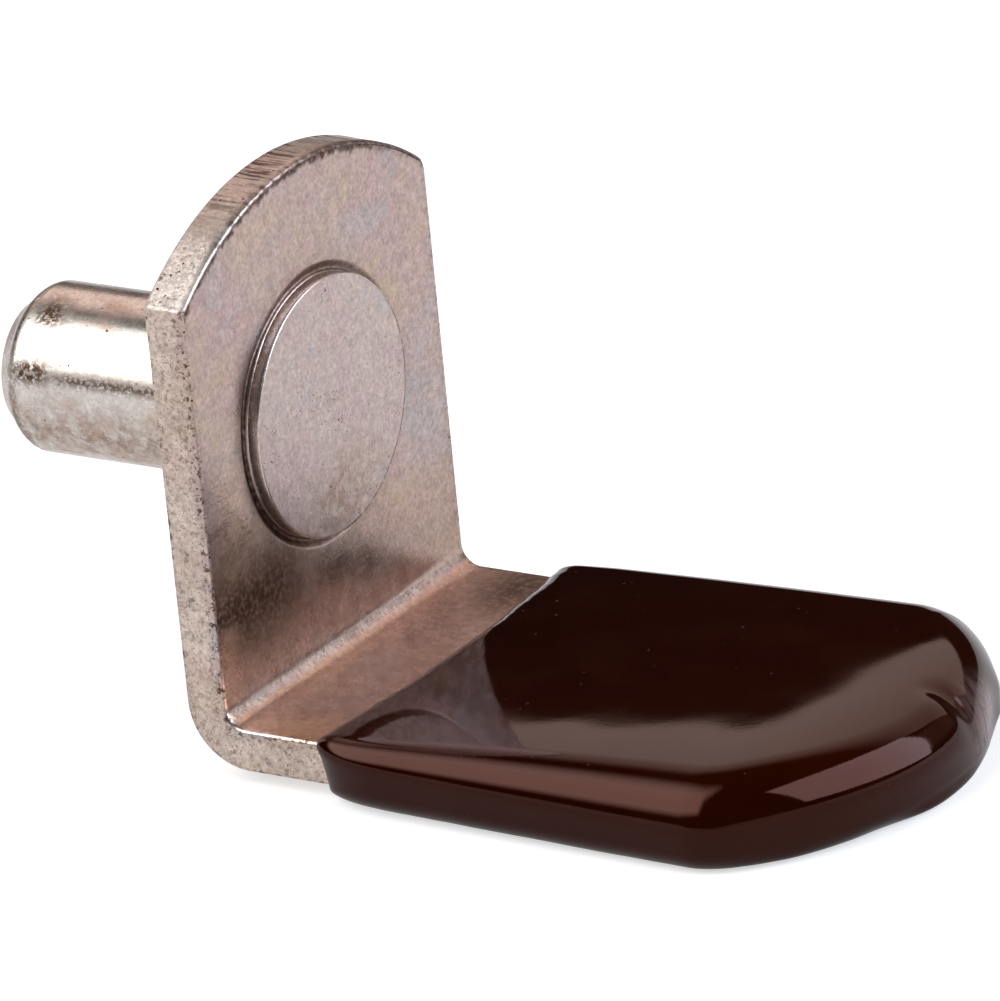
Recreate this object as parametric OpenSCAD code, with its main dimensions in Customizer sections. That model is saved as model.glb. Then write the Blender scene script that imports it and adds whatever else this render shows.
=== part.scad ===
// Shelf support pin: a bent steel bracket, a headed pin pressed through its plate
// and swelled tight, and a vinyl skin dipped over its arm. Sizes are in millimetres.
// The origin lies on the pin's axis at the plate's back face.
// +X runs along the arm, +Y across the strip and +Z up.

/* [Steel strip] */
// Width of the strip that the bracket is bent from
strip_w = 12.7; // [11:0.1:16]
// Thickness of the strip
strip_t = 1.3; // [1:0.05:1.8]
// Inside radius of the bend between plate and arm
bend_r = 0.6; // [0.3:0.05:1.2]

/* [Plate] */
// Height of the arched crown above the pin's axis
crown_height = 7.4; // [6.8:0.1:10]
// Height of the crown above the arch's two corners
crown_rise = 2.25; // [1:0.05:2.8]

/* [Arm] */
// Drop from the pin's axis to the top face of the bare arm
arm_drop = 7.4; // [6.5:0.1:12]
// Reach of the steel arm from the plate's back face
arm_reach = 20.3; // [18:0.1:30]
// Depth of the arched end of the arm beyond its two corners
arm_end_rise = 3.2; // [1.5:0.1:4]

/* [Pin] */
// Diameter of the pin that plugs into the cabinet side
pin_d = 5; // [4.5:0.05:6]
// Length of the pin behind the plate
pin_len = 8.5; // [7:0.1:12]
// Length of the short bevel where the pin's wall ends
bevel_len = 0.22; // [0.1:0.02:0.5]
// Radial width of that bevel
bevel_w = 0.35; // [0.1:0.05:0.6]
// Length of the slow taper of the nose
nose_len = 0.38; // [0.2:0.02:0.8]
// Radial width of that taper
nose_w = 0.23; // [0.1:0.01:0.5]
// How much wider than the pin its shank swells in the plate, to fill the hole there
swell = 0.4; // [0.35:0.05:0.6]
// Widening of that hole from the plate's front to its back, as the punch leaves it
hole_taper = 0.1; // [0.05:0.05:0.2]

/* [Pin head] */
// Diameter of the flat head on the plate's front
head_d = 7.65; // [7:0.05:9]
// Height of the head above the plate's front
head_h = 0.38; // [0.2:0.02:0.8]
// Width of the groove pressed into the plate around the head
groove_w = 0.36; // [0.2:0.02:0.6]
// Depth of that groove
groove_depth = 0.12; // [0.05:0.01:0.2]

/* [Vinyl skin] */
// Distance from the plate's back face to the edge of the skin
skin_start = 4.3; // [3.5:0.1:8]
// Thickness of the skin on top of the arm, at the arm's end
skin_top = 1.1; // [0.7:0.05:1.3]
// Thickness of the skin under the arm, at the arm's end
skin_under = 0.37; // [0.3:0.01:1]
// Thickness of the skin on each side of the arm, at the arm's corners
skin_side = 1; // [0.6:0.02:1.2]
// Thickness of the skin on top of the arm, where it starts
start_top = 0.42; // [0.3:0.02:1]
// Thickness of the skin under the arm, where it starts
start_under = 0.28; // [0.2:0.02:1]
// Thickness of the skin on each side of the arm, where it starts
start_side = 0.74; // [0.5:0.02:1.2]
// Thickness of the skin over the arm's end
skin_end = 1; // [0.6:0.05:1.5]
// Radius of the skin's roll over the arm's upper edges, at the arm's end
roll_top = 1.45; // [1:0.05:1.6]
// Radius of that roll, where the skin starts
start_roll = 0.8; // [0.4:0.05:1.2]
// Radius of the skin's roll under the arm's lower edges
roll_under = 0.65; // [0.4:0.05:1]
// Radius of the skin around the arm's two corners, in plan
corner_r = 2.2; // [1.6:0.1:3]
// Length over which the skin thins towards its edge
lip_len = 1.4; // [0.6:0.1:2]
// Thickness of the skin at its very edge
lip_t = 0.08; // [0.04:0.02:0.2]

/* [Hidden] */
$fn = 96;
nickel = [0.70, 0.64, 0.59];
polished_nickel = [0.78, 0.73, 0.67];
brown_vinyl = [0.17, 0.06, 0.04];
// Overshoot of a cutting shape past the face that it cuts
over = 1;
half_w = strip_w / 2;
// Centre of the bend, seen from the side
bend_x = strip_t + bend_r;
bend_z = bend_r - arm_drop;
arm_under = -arm_drop - strip_t;
// The plate's hole, which the pin's swelled shank fills
hole_front_r = (pin_d + swell) / 2;
hole_back_r = hole_front_r + hole_taper / 2;
// The skin's rounded end is one large arc that runs into two corner arcs
end_centre_x = arm_reach - arc_radius(half_w, arm_end_rise);
end_r = arc_radius(half_w, arm_end_rise) + skin_end;
corner_y = half_w + skin_side - corner_r;
corner_x = end_centre_x + sqrt(pow(end_r - corner_r, 2) - pow(corner_y, 2));
corner_turn = atan2(corner_y, corner_x - end_centre_x);
// Steps of the loft: along the lip, along each side, round each corner, round the
// end arc and over each of the edge's two quarter rolls
lip_steps = 6;
side_steps = 7;
corner_steps = 8;
end_steps = 20;
roll_steps = 8;
ring_size = 2 * (roll_steps + 1);

// Radius of the arc that rises by a given height over half a chord
function arc_radius(half_chord, rise) = (pow(half_chord, 2) + pow(rise, 2)) / (2 * rise);

// Value between two others, at a share of the way from the first
function between(first, second, share) = first + share * (second - first);

// Share by which the skin has thickened: fast where it starts, slowly near its tip
function thickened(x) = sin(90 * (x - skin_start) / (arm_reach + skin_end - skin_start));

// Thickness of the skin on each side of the arm
function side_thickness(x) = between(start_side, skin_side, thickened(x) / thickened(corner_x));

// One station of the skin's outline: plan position, direction that the edge faces,
// heights of top and underside, and radii of the roll over the edge and of the one
// under it. Share is how far the lip has opened.
function station(x, y, facing, share) =
    let (
        top = between(start_top, skin_top, thickened(x)),
        under = between(start_under, skin_under, thickened(x)),
        roll = between(start_roll, roll_top, thickened(x))
    )
        [
            x, y, facing,
            between(lip_t, top, share) - arm_drop,
            arm_under - between(lip_t, under, share),
            between(lip_t, roll, share),
            between(lip_t, roll_under, share)
        ];

// Stations along the lip, which opens like a quarter of an ellipse, on side -1 or 1
function lip_stations(side) = [
    for (step = [0 : lip_steps])
        let (
            turn = 90 * step / lip_steps,
            share = sin(turn),
            x = skin_start + lip_len * (1 - cos(turn))
        )
            station(
                x, side * (half_w + between(lip_t, side_thickness(x), share)),
                side * 90, share
            )
];

// Stations between the lip and the corner, on side -1 or 1
function side_stations(side) = [
    for (step = [1 : side_steps - 1])
        let (x = between(skin_start + lip_len, corner_x, step / side_steps))
            station(x, side * (half_w + side_thickness(x)), side * 90, 1)
];

// Stations on an arc of full thickness about a plan centre
function arc_stations(centre, radius, from_angle, to_angle, steps) = [
    for (step = [0 : steps])
        let (facing = between(from_angle, to_angle, step / steps))
            station(
                centre[0] + radius * cos(facing),
                centre[1] + radius * sin(facing),
                facing, 1
            )
];

// Ring of points over one station's edge, from its top down to its underside
function edge_ring(at) = [
    for (half = [0, 1], step = [0 : roll_steps])
        let (
            radius = at[5 + half],
            turn = 90 * (half == 0 ? roll_steps - step : -step) / roll_steps,
            inset = radius * (1 - cos(turn)),
            level = half == 0 ? at[3] - radius : at[4] + radius
        )
            [at[0] - inset * cos(at[2]), at[1] - inset * sin(at[2]), level + radius * sin(turn)]
];

// The outline's stations, from the lip on one side round to the lip on the other
near_lip = lip_stations(-1);
near_side = side_stations(-1);
near_corner = arc_stations([corner_x, -corner_y], corner_r, -90, -corner_turn, corner_steps);
end_arc = arc_stations([end_centre_x, 0], end_r, -corner_turn, corner_turn, end_steps);
far_corner = arc_stations([corner_x, corner_y], corner_r, corner_turn, 90, corner_steps);
far_side = side_stations(1);
far_lip = lip_stations(1);
skin_stations = concat(
    near_lip,
    near_side,
    near_corner,
    [for (step = [1 : end_steps - 1]) end_arc[step]],
    far_corner,
    [for (step = [side_steps - 2 : -1 : 0]) far_side[step]],
    [for (step = [lip_steps : -1 : 0]) far_lip[step]]
);
last = len(skin_stations) - 1;
skin_points = [for (at = skin_stations) each edge_ring(at)];

// Number of a point, from its station and its place in the ring
function point_at(ring, place) = ring * ring_size + place;

// Two triangles that fill the patch between four corners
function patch(a, b, c, d) = [[a, c, b], [a, d, c]];

edge_faces = [
    for (ring = [0 : last - 1], place = [0 : ring_size - 2])
        each patch(
            point_at(ring, place), point_at(ring, place + 1),
            point_at(ring + 1, place + 1), point_at(ring + 1, place)
        )
];
// The top and the underside join each station to its mirror image
top_faces = [
    for (ring = [0 : last / 2 - 1])
        each patch(
            point_at(ring, 0), point_at(ring + 1, 0),
            point_at(last - ring - 1, 0), point_at(last - ring, 0)
        )
];
under_faces = [
    for (ring = [0 : last / 2 - 1])
        each patch(
            point_at(ring, ring_size - 1), point_at(last - ring, ring_size - 1),
            point_at(last - ring - 1, ring_size - 1), point_at(ring + 1, ring_size - 1)
        )
];
start_face = concat(
    [for (place = [ring_size - 1 : -1 : 0]) point_at(last, place)],
    [for (place = [0 : ring_size - 1]) point_at(0, place)]
);
skin_faces = concat(edge_faces, top_faces, under_faces, [start_face]);

// Flat outline of a length of strip with an arched end
module arched_outline(length, rise) {
    end_arc_r = arc_radius(half_w, rise);
    translate([0, -half_w])
        square([length - rise, strip_w]);
    intersection() {
        translate([length - end_arc_r, 0])
            circle(r = end_arc_r);
        translate([length - rise, -half_w])
            square([rise, strip_w]);
    }
}

// Upright plate, from the bend to its arched crown
module plate() {
    translate([strip_t, 0, bend_z])
        rotate([0, -90, 0])
            linear_extrude(strip_t)
                arched_outline(crown_height - bend_z, crown_rise);
}

// Quarter turn that joins the plate to the arm
module bend() {
    translate([bend_x, half_w, bend_z])
        rotate([90, 0, 0])
            rotate([0, 0, 180])
                rotate_extrude(angle = 90)
                    translate([bend_r, 0])
                        square([strip_t, strip_w]);
}

// Level arm, from the bend to its arched end
module arm() {
    translate([bend_x, 0, arm_under])
        linear_extrude(strip_t)
            arched_outline(arm_reach - bend_x, arm_end_rise);
}

// Hole for the pin, a little wider at the plate's back
module punched_hole() {
    rotate([0, -90, 0])
        rotate_extrude()
            polygon([
                [0, -strip_t - over],
                [hole_front_r, -strip_t - over],
                [hole_front_r, -strip_t],
                [hole_back_r, 0],
                [hole_back_r, over],
                [0, over]
            ]);
}

// Shallow groove that pressing the pin home leaves in the plate around the head
module head_groove() {
    section_r = arc_radius(groove_w / 2, groove_depth);
    translate([strip_t + section_r - groove_depth, 0, 0])
        rotate([0, 90, 0])
            rotate_extrude()
                translate([(head_d + groove_w) / 2, 0])
                    circle(r = section_r);
}

// One strip of steel, punched and bent
module angle_bracket() {
    color(nickel)
        difference() {
            union() {
                plate();
                bend();
                arm();
            }
            punched_hole();
            head_groove();
        }
}

// Headed pin: the flat head, the shank swelled into the plate's tapered hole, which
// locks it, the straight wall, a short bevel and the tapered nose
module pin() {
    wall_end = pin_len - nose_len - bevel_len;
    nose_r = pin_d / 2 - bevel_w;
    color(polished_nickel)
        rotate([0, -90, 0])
            rotate_extrude()
                polygon([
                    [0, -strip_t - head_h],
                    [head_d / 2, -strip_t - head_h],
                    [head_d / 2, -strip_t],
                    [hole_front_r, -strip_t],
                    [hole_back_r, 0],
                    [pin_d / 2, 0],
                    [pin_d / 2, wall_end],
                    [nose_r, wall_end + bevel_len],
                    [nose_r - nose_w, pin_len],
                    [0, pin_len]
                ]);
}

// Vinyl skin: rings of the rolled-over edge, lofted around the arm's outline and
// closed by a flat top, a flat underside and the thin edge's own face, with the
// steel arm taken out
module vinyl_coating() {
    color(brown_vinyl)
        difference() {
            polyhedron(points = skin_points, faces = skin_faces);
            arm();
        }
}

angle_bracket();
pin();
vinyl_coating();
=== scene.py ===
"""Dresses the shelf support pin: a nickel-plated bracket, its headed pin and the vinyl skin on its arm.

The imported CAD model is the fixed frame. Three detailed pieces stand in for its three nodes: the bent
strip with its sheared arch and the groove round the pin's head, the headed pin, and the dipped skin.
Lengths are written in millimetres and turned into metres when a mesh is made.
"""

import logging
import math
from dataclasses import dataclass, field
from enum import Enum

import bmesh
import bpy
import numpy as np
from mathutils import Matrix, Vector

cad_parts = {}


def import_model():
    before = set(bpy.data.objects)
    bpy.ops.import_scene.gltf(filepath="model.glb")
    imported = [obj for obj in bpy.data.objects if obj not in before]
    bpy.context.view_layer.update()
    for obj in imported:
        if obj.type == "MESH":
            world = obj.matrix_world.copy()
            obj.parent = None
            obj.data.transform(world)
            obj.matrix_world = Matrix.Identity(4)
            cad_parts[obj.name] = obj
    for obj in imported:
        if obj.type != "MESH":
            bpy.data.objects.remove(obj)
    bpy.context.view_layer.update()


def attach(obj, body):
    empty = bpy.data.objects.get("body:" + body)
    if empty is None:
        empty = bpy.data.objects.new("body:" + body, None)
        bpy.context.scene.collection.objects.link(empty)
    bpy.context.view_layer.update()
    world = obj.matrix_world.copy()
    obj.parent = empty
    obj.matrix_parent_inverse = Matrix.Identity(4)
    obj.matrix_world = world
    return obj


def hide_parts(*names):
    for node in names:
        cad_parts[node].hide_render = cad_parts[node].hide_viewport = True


Array = np.ndarray

MM = 0.001
FRAME_WIDTH_PX = 1000
FRAME_HEIGHT_PX = 1001
SENSOR_MM = 36.0
QUARTER = math.pi / 2.0
BODY = "root"

log = logging.getLogger("shelf_support_pin")


# ---------------------------------------------------------------- small numpy tools


def smooth_step(low: float, high: float, value: Array) -> Array:
    """Eases from 0 at low to 1 at high.

    Args:
        low: Value at which the step starts.
        high: Value at which the step ends.
        value: Where to work the step out.

    Returns:
        3t^2 - 2t^3 of the clipped share t between low and high.
    """
    share = np.clip((value - low) / (high - low), 0.0, 1.0)
    return share * share * (3.0 - 2.0 * share)


def bump(centre: float, width: float, value: Array) -> Array:
    """Gives a bell curve: e to the minus square of the distance from the centre over the width."""
    return np.exp(-(((value - centre) / width) ** 2))


def ripple(value: Array, seed: int, longest: float, terms: int = 6) -> Array:
    """Sums sines of falling wavelength and amplitude with seeded phases.

    Args:
        value: Distance along the rippled line.
        seed: Seed of the phases.
        longest: Longest wavelength, in the units of value.
        terms: How many sines are summed.

    Returns:
        A smooth irregular wave between about -1 and 1. Each sine is 1.7 times shorter and 1.35
        times lower than the last.
    """
    phases = np.random.default_rng(seed).uniform(0.0, 2.0 * math.pi, terms)
    total = np.zeros_like(value, dtype=float)
    for term, phase in enumerate(phases):
        total += np.sin(2.0 * math.pi * value * 1.7**term / longest + phase) / 1.35**term
    return total / 2.4


def waves(x: Array, y: Array, seed: int, longest: float, terms: int = 7) -> Array:
    """Sums plane waves of seeded directions over a surface.

    Args:
        x: First coordinate of each point.
        y: Second coordinate of each point.
        seed: Seed of the directions and phases.
        longest: Longest wavelength, in the units of x and y.
        terms: How many waves are summed.

    Returns:
        A smooth irregular relief between about -1 and 1. Each wave is 1.45 times shorter and 1.3
        times lower than the last.
    """
    chance = np.random.default_rng(seed)
    total = np.zeros(np.broadcast(x, y).shape)
    for term in range(terms):
        turn, phase = chance.uniform(0.0, 2.0 * math.pi, 2)
        across = x * math.cos(turn) + y * math.sin(turn)
        total += np.sin(2.0 * math.pi * across * 1.45**term / longest + phase) / 1.3**term
    return total / 2.6


# ---------------------------------------------------------------- meshes


def grid_quads(rows: int, columns: int) -> Array:
    """Numbers the corners of the quads between a grid's points.

    Args:
        rows: Rows of points.
        columns: Points in a row.

    Returns:
        Four point numbers for each quad, where the points are counted row by row.
    """
    numbers = np.arange(rows * columns).reshape(rows, columns)
    around = [numbers[:-1, :-1], numbers[:-1, 1:], numbers[1:, 1:], numbers[1:, :-1]]
    return np.stack(around, axis=-1).reshape(-1, 4)


def add_object(name: str, data: bpy.types.ID) -> bpy.types.Object:
    """Makes an object that shows a mesh, lamp or camera, and puts it in the scene.

    Args:
        name: Name of the object.
        data: What it shows.

    Returns:
        The new object, at the origin.
    """
    made = bpy.data.objects.new(name, data)
    bpy.context.scene.collection.objects.link(made)
    return made


@dataclass
class Patchwork:
    """Gathers grids of points that share edges and welds them into one closed mesh."""

    points: list[Array] = field(default_factory=list)
    faces: list[Array] = field(default_factory=list)
    marks: dict[str, list[Array]] = field(default_factory=dict)
    count: int = 0

    def add(self, grid: Array, **marks: Array) -> None:
        """Adds a grid of points and the quads between them.

        Args:
            grid: Points in millimetres, of shape (rows, columns, 3).
            marks: Named values per point, of shape (rows, columns), kept as mesh attributes.
        """
        rows, columns = grid.shape[:2]
        self.points.append(grid.reshape(-1, 3))
        self.faces.append(grid_quads(rows, columns) + self.count)
        for name in sorted(set(marks) | set(self.marks)):
            past = self.marks.setdefault(name, [np.zeros(self.count)])
            value = marks.get(name, np.zeros((rows, columns)))
            past.append(np.broadcast_to(value, (rows, columns)).reshape(-1).astype(float))
        self.count += rows * columns

    def build(self, name: str, weld_mm: float = 0.0004) -> bpy.types.Object:
        """Makes the welded mesh, turns its faces outwards and links it.

        Args:
            name: Name of the object and its mesh.
            weld_mm: Points closer than this become one.

        Returns:
            The new object, at the origin, with smooth faces.
        """
        mesh = bpy.data.meshes.new(name)
        mesh.from_pydata(np.concatenate(self.points) * MM, [], np.concatenate(self.faces))
        for mark, values in self.marks.items():
            layer = mesh.attributes.new(mark, "FLOAT", "POINT")
            layer.data.foreach_set("value", np.concatenate(values).astype(np.float32))
        work = bmesh.new()
        work.from_mesh(mesh)
        bmesh.ops.remove_doubles(work, verts=work.verts, dist=weld_mm * MM)
        bmesh.ops.dissolve_degenerate(work, edges=work.edges, dist=weld_mm * MM * 0.5)
        bmesh.ops.recalc_face_normals(work, faces=work.faces)
        if work.calc_volume(signed=True) < 0.0:
            bmesh.ops.reverse_faces(work, faces=work.faces)
        open_edges = sum(1 for edge in work.edges if not edge.is_manifold)
        work.to_mesh(mesh)
        work.free()
        mesh.polygons.foreach_set("use_smooth", np.ones(len(mesh.polygons), dtype=bool))
        mesh.update()
        log.info("%s: %d faces, %d open edges", name, len(mesh.polygons), open_edges)
        return add_object(name, mesh)


# ---------------------------------------------------------------- nodes


class Socket(Enum):
    """Inputs of the Principled shader that the finishes set or link."""

    COLOUR = "Base Color"
    METALLIC = "Metallic"
    ROUGHNESS = "Roughness"
    NORMAL = "Normal"
    SPECULAR = "Specular IOR Level"
    SPECULAR_TINT = "Specular Tint"


class Nodes:
    """Short calls that make and join the nodes of one tree."""

    def __init__(self, tree: bpy.types.NodeTree) -> None:
        """Takes the tree to work on."""
        self.tree = tree

    def node(self, kind: str, **settings: object) -> bpy.types.Node:
        """Adds a node.

        Args:
            kind: Blender's name for the kind of node.
            settings: Properties to set on it.

        Returns:
            The new node.
        """
        made = self.tree.nodes.new(kind)
        for name, value in settings.items():
            setattr(made, name, value)
        return made

    def link(self, source: bpy.types.NodeSocket, target: bpy.types.NodeSocket) -> None:
        """Joins an output to an input."""
        self.tree.links.new(source, target)

    def feed(self, target: bpy.types.NodeSocket, value: object) -> None:
        """Links an output to an input, or writes a plain value on it.

        Args:
            target: The input.
            value: A node's output socket, a number or a colour.
        """
        if isinstance(value, bpy.types.NodeSocket):
            self.link(value, target)
        elif isinstance(value, tuple) and len(value) == 3 and target.type == "RGBA":
            target.default_value = (*value, 1.0)
        else:
            target.default_value = value

    def maths(self, operation: str, *values: object) -> bpy.types.NodeSocket:
        """Works out a sum, product or other operation.

        Args:
            operation: Blender's name for the operation.
            values: Numbers or sockets that it takes, in order.

        Returns:
            The result.
        """
        made = self.node("ShaderNodeMath", operation=operation)
        for number, value in enumerate(values):
            self.feed(made.inputs[number], value)
        return made.outputs[0]

    def ramp(
        self, value: bpy.types.NodeSocket, low: float, high: float, out: tuple[float, float] = (0.0, 1.0)
    ) -> bpy.types.NodeSocket:
        """Eases a value between two levels.

        Args:
            value: The value.
            low: Where the easing starts.
            high: Where it ends.
            out: What is given at low and before it, and at high and beyond it.

        Returns:
            The eased value.
        """
        made = self.node("ShaderNodeMapRange", interpolation_type="SMOOTHSTEP")
        for name, number in zip(
            ("Value", "From Min", "From Max", "To Min", "To Max"), (value, low, high, *out)
        ):
            self.feed(made.inputs[name], number)
        return made.outputs["Result"]


class Shade(Nodes):
    """Builds one node material, with short calls for what the finishes share."""

    def __init__(self, name: str) -> None:
        """Starts a material that holds only a Principled shader.

        Args:
            name: Name of the material.
        """
        self.material = bpy.data.materials.new(name)
        self.material.use_nodes = True
        super().__init__(self.material.node_tree)
        self.shader = self.tree.nodes["Principled BSDF"]

    def set(self, socket: Socket, value: object) -> None:
        """Sets or links one input of the shader."""
        self.feed(self.shader.inputs[socket.value], value)

    def place(self, scale: tuple[float, float, float] = (1.0, 1.0, 1.0)) -> bpy.types.NodeSocket:
        """Gives the object's own coordinates in millimetres.

        Args:
            scale: How much faster the coordinates run along each axis.

        Returns:
            The coordinates.
        """
        mapping = self.node("ShaderNodeMapping")
        self.link(self.node("ShaderNodeTexCoord").outputs["Object"], mapping.inputs["Vector"])
        mapping.inputs["Scale"].default_value = tuple(part / MM for part in scale)
        return mapping.outputs["Vector"]

    def mark(self, name: str) -> bpy.types.NodeSocket:
        """Gives the piece's own attribute of that name."""
        return self.node("ShaderNodeAttribute", attribute_name=name).outputs["Fac"]

    def noise(
        self,
        where: bpy.types.NodeSocket,
        scale: float,
        detail: float = 3.0,
        rough: float = 0.5,
        twist: float = 0.0,
    ) -> bpy.types.NodeSocket:
        """Gives fractal noise between 0 and 1.

        Args:
            where: Coordinates in millimetres.
            scale: Waves per millimetre.
            detail: Octaves added to the first.
            rough: Share that each octave keeps.
            twist: Distortion.

        Returns:
            The noise's value.
        """
        made = self.node("ShaderNodeTexNoise")
        for name, value in zip(
            ("Vector", "Scale", "Detail", "Roughness", "Distortion"), (where, scale, detail, rough, twist)
        ):
            self.feed(made.inputs[name], value)
        return made.outputs["Fac"]

    def cells(self, where: bpy.types.NodeSocket, scale: float) -> bpy.types.Node:
        """Divides space into irregular cells round scattered points.

        Args:
            where: Coordinates in millimetres.
            scale: Cells per millimetre.

        Returns:
            A Voronoi node, whose Distance is 0 at each point.
        """
        made = self.node("ShaderNodeTexVoronoi")
        self.link(where, made.inputs["Vector"])
        made.inputs["Scale"].default_value = scale
        return made

    def grained(
        self,
        colour: bpy.types.NodeSocket,
        where: bpy.types.NodeSocket,
        rough: float,
        layers: tuple[tuple[float, float, float, float], ...],
    ) -> bpy.types.NodeSocket:
        """Gives a colour a felt-like grain.

        Args:
            colour: The colour.
            where: Coordinates in millimetres.
            rough: Share that each octave of the grain keeps.
            layers: Waves per millimetre, octaves, darkest and lightest factor of each layer.

        Returns:
            The colour times each layer of noise.
        """
        for scale, detail, dark, light in layers:
            grain = self.ramp(self.noise(where, scale, detail, rough), 0.30, 0.70, (dark, light))
            grey = self.node("ShaderNodeCombineColor")
            for channel in ("Red", "Green", "Blue"):
                self.link(grain, grey.inputs[channel])
            colour = self.mix(1.0, colour, grey.outputs["Color"], "MULTIPLY")
        return colour

    def mix(
        self, share: object, first: object, second: object, blend: str = "MIX"
    ) -> bpy.types.NodeSocket:
        """Mixes two colours.

        Args:
            share: How much of the second shows.
            first: Colour or socket.
            second: Colour or socket.
            blend: Way of blending.

        Returns:
            The mixed colour.
        """
        made = self.node("ShaderNodeMix", data_type="RGBA", blend_type=blend)
        self.feed(made.inputs["Factor"], share)
        self.feed(made.inputs["A"], first)
        self.feed(made.inputs["B"], second)
        return made.outputs["Result"]

    def relief(
        self, height: bpy.types.NodeSocket, depth_mm: float, under: bpy.types.NodeSocket | None = None
    ) -> bpy.types.NodeSocket:
        """Turns a height into a bumped normal.

        Args:
            height: Height between 0 and 1.
            depth_mm: What a height of 1 stands for.
            under: Normal that this one is laid over.

        Returns:
            The bumped normal.
        """
        made = self.node("ShaderNodeBump")
        made.inputs["Strength"].default_value = 1.0
        made.inputs["Distance"].default_value = depth_mm * MM
        self.link(height, made.inputs["Height"])
        if under is not None:
            self.link(under, made.inputs["Normal"])
        return made.outputs["Normal"]

    def pits(
        self, where: bpy.types.NodeSocket, scale: float, size: float, share: float, cluster: object
    ) -> bpy.types.NodeSocket:
        """Scatters small round specks.

        Args:
            where: Coordinates in millimetres.
            scale: Specks per millimetre, before thinning.
            size: Radius of a speck, as a share of the cells' spacing.
            share: How many of the cells hold a speck.
            cluster: Value that is added to the share from place to place.

        Returns:
            1 inside a speck and 0 outside.
        """
        spots = self.cells(where, scale)
        picked = self.node("ShaderNodeSeparateColor")
        self.link(spots.outputs["Color"], picked.inputs["Color"])
        kept = self.maths("LESS_THAN", picked.outputs["Red"], self.maths("ADD", cluster, share))
        radius = self.maths("MULTIPLY", self.maths("ADD", picked.outputs["Green"], 0.4), size)
        depth = self.maths("SUBTRACT", radius, spots.outputs["Distance"])
        inside = self.ramp(depth, 0.0, size * 0.35)
        return self.maths("MULTIPLY", inside, kept)


# ---------------------------------------------------------------- finishes


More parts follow.
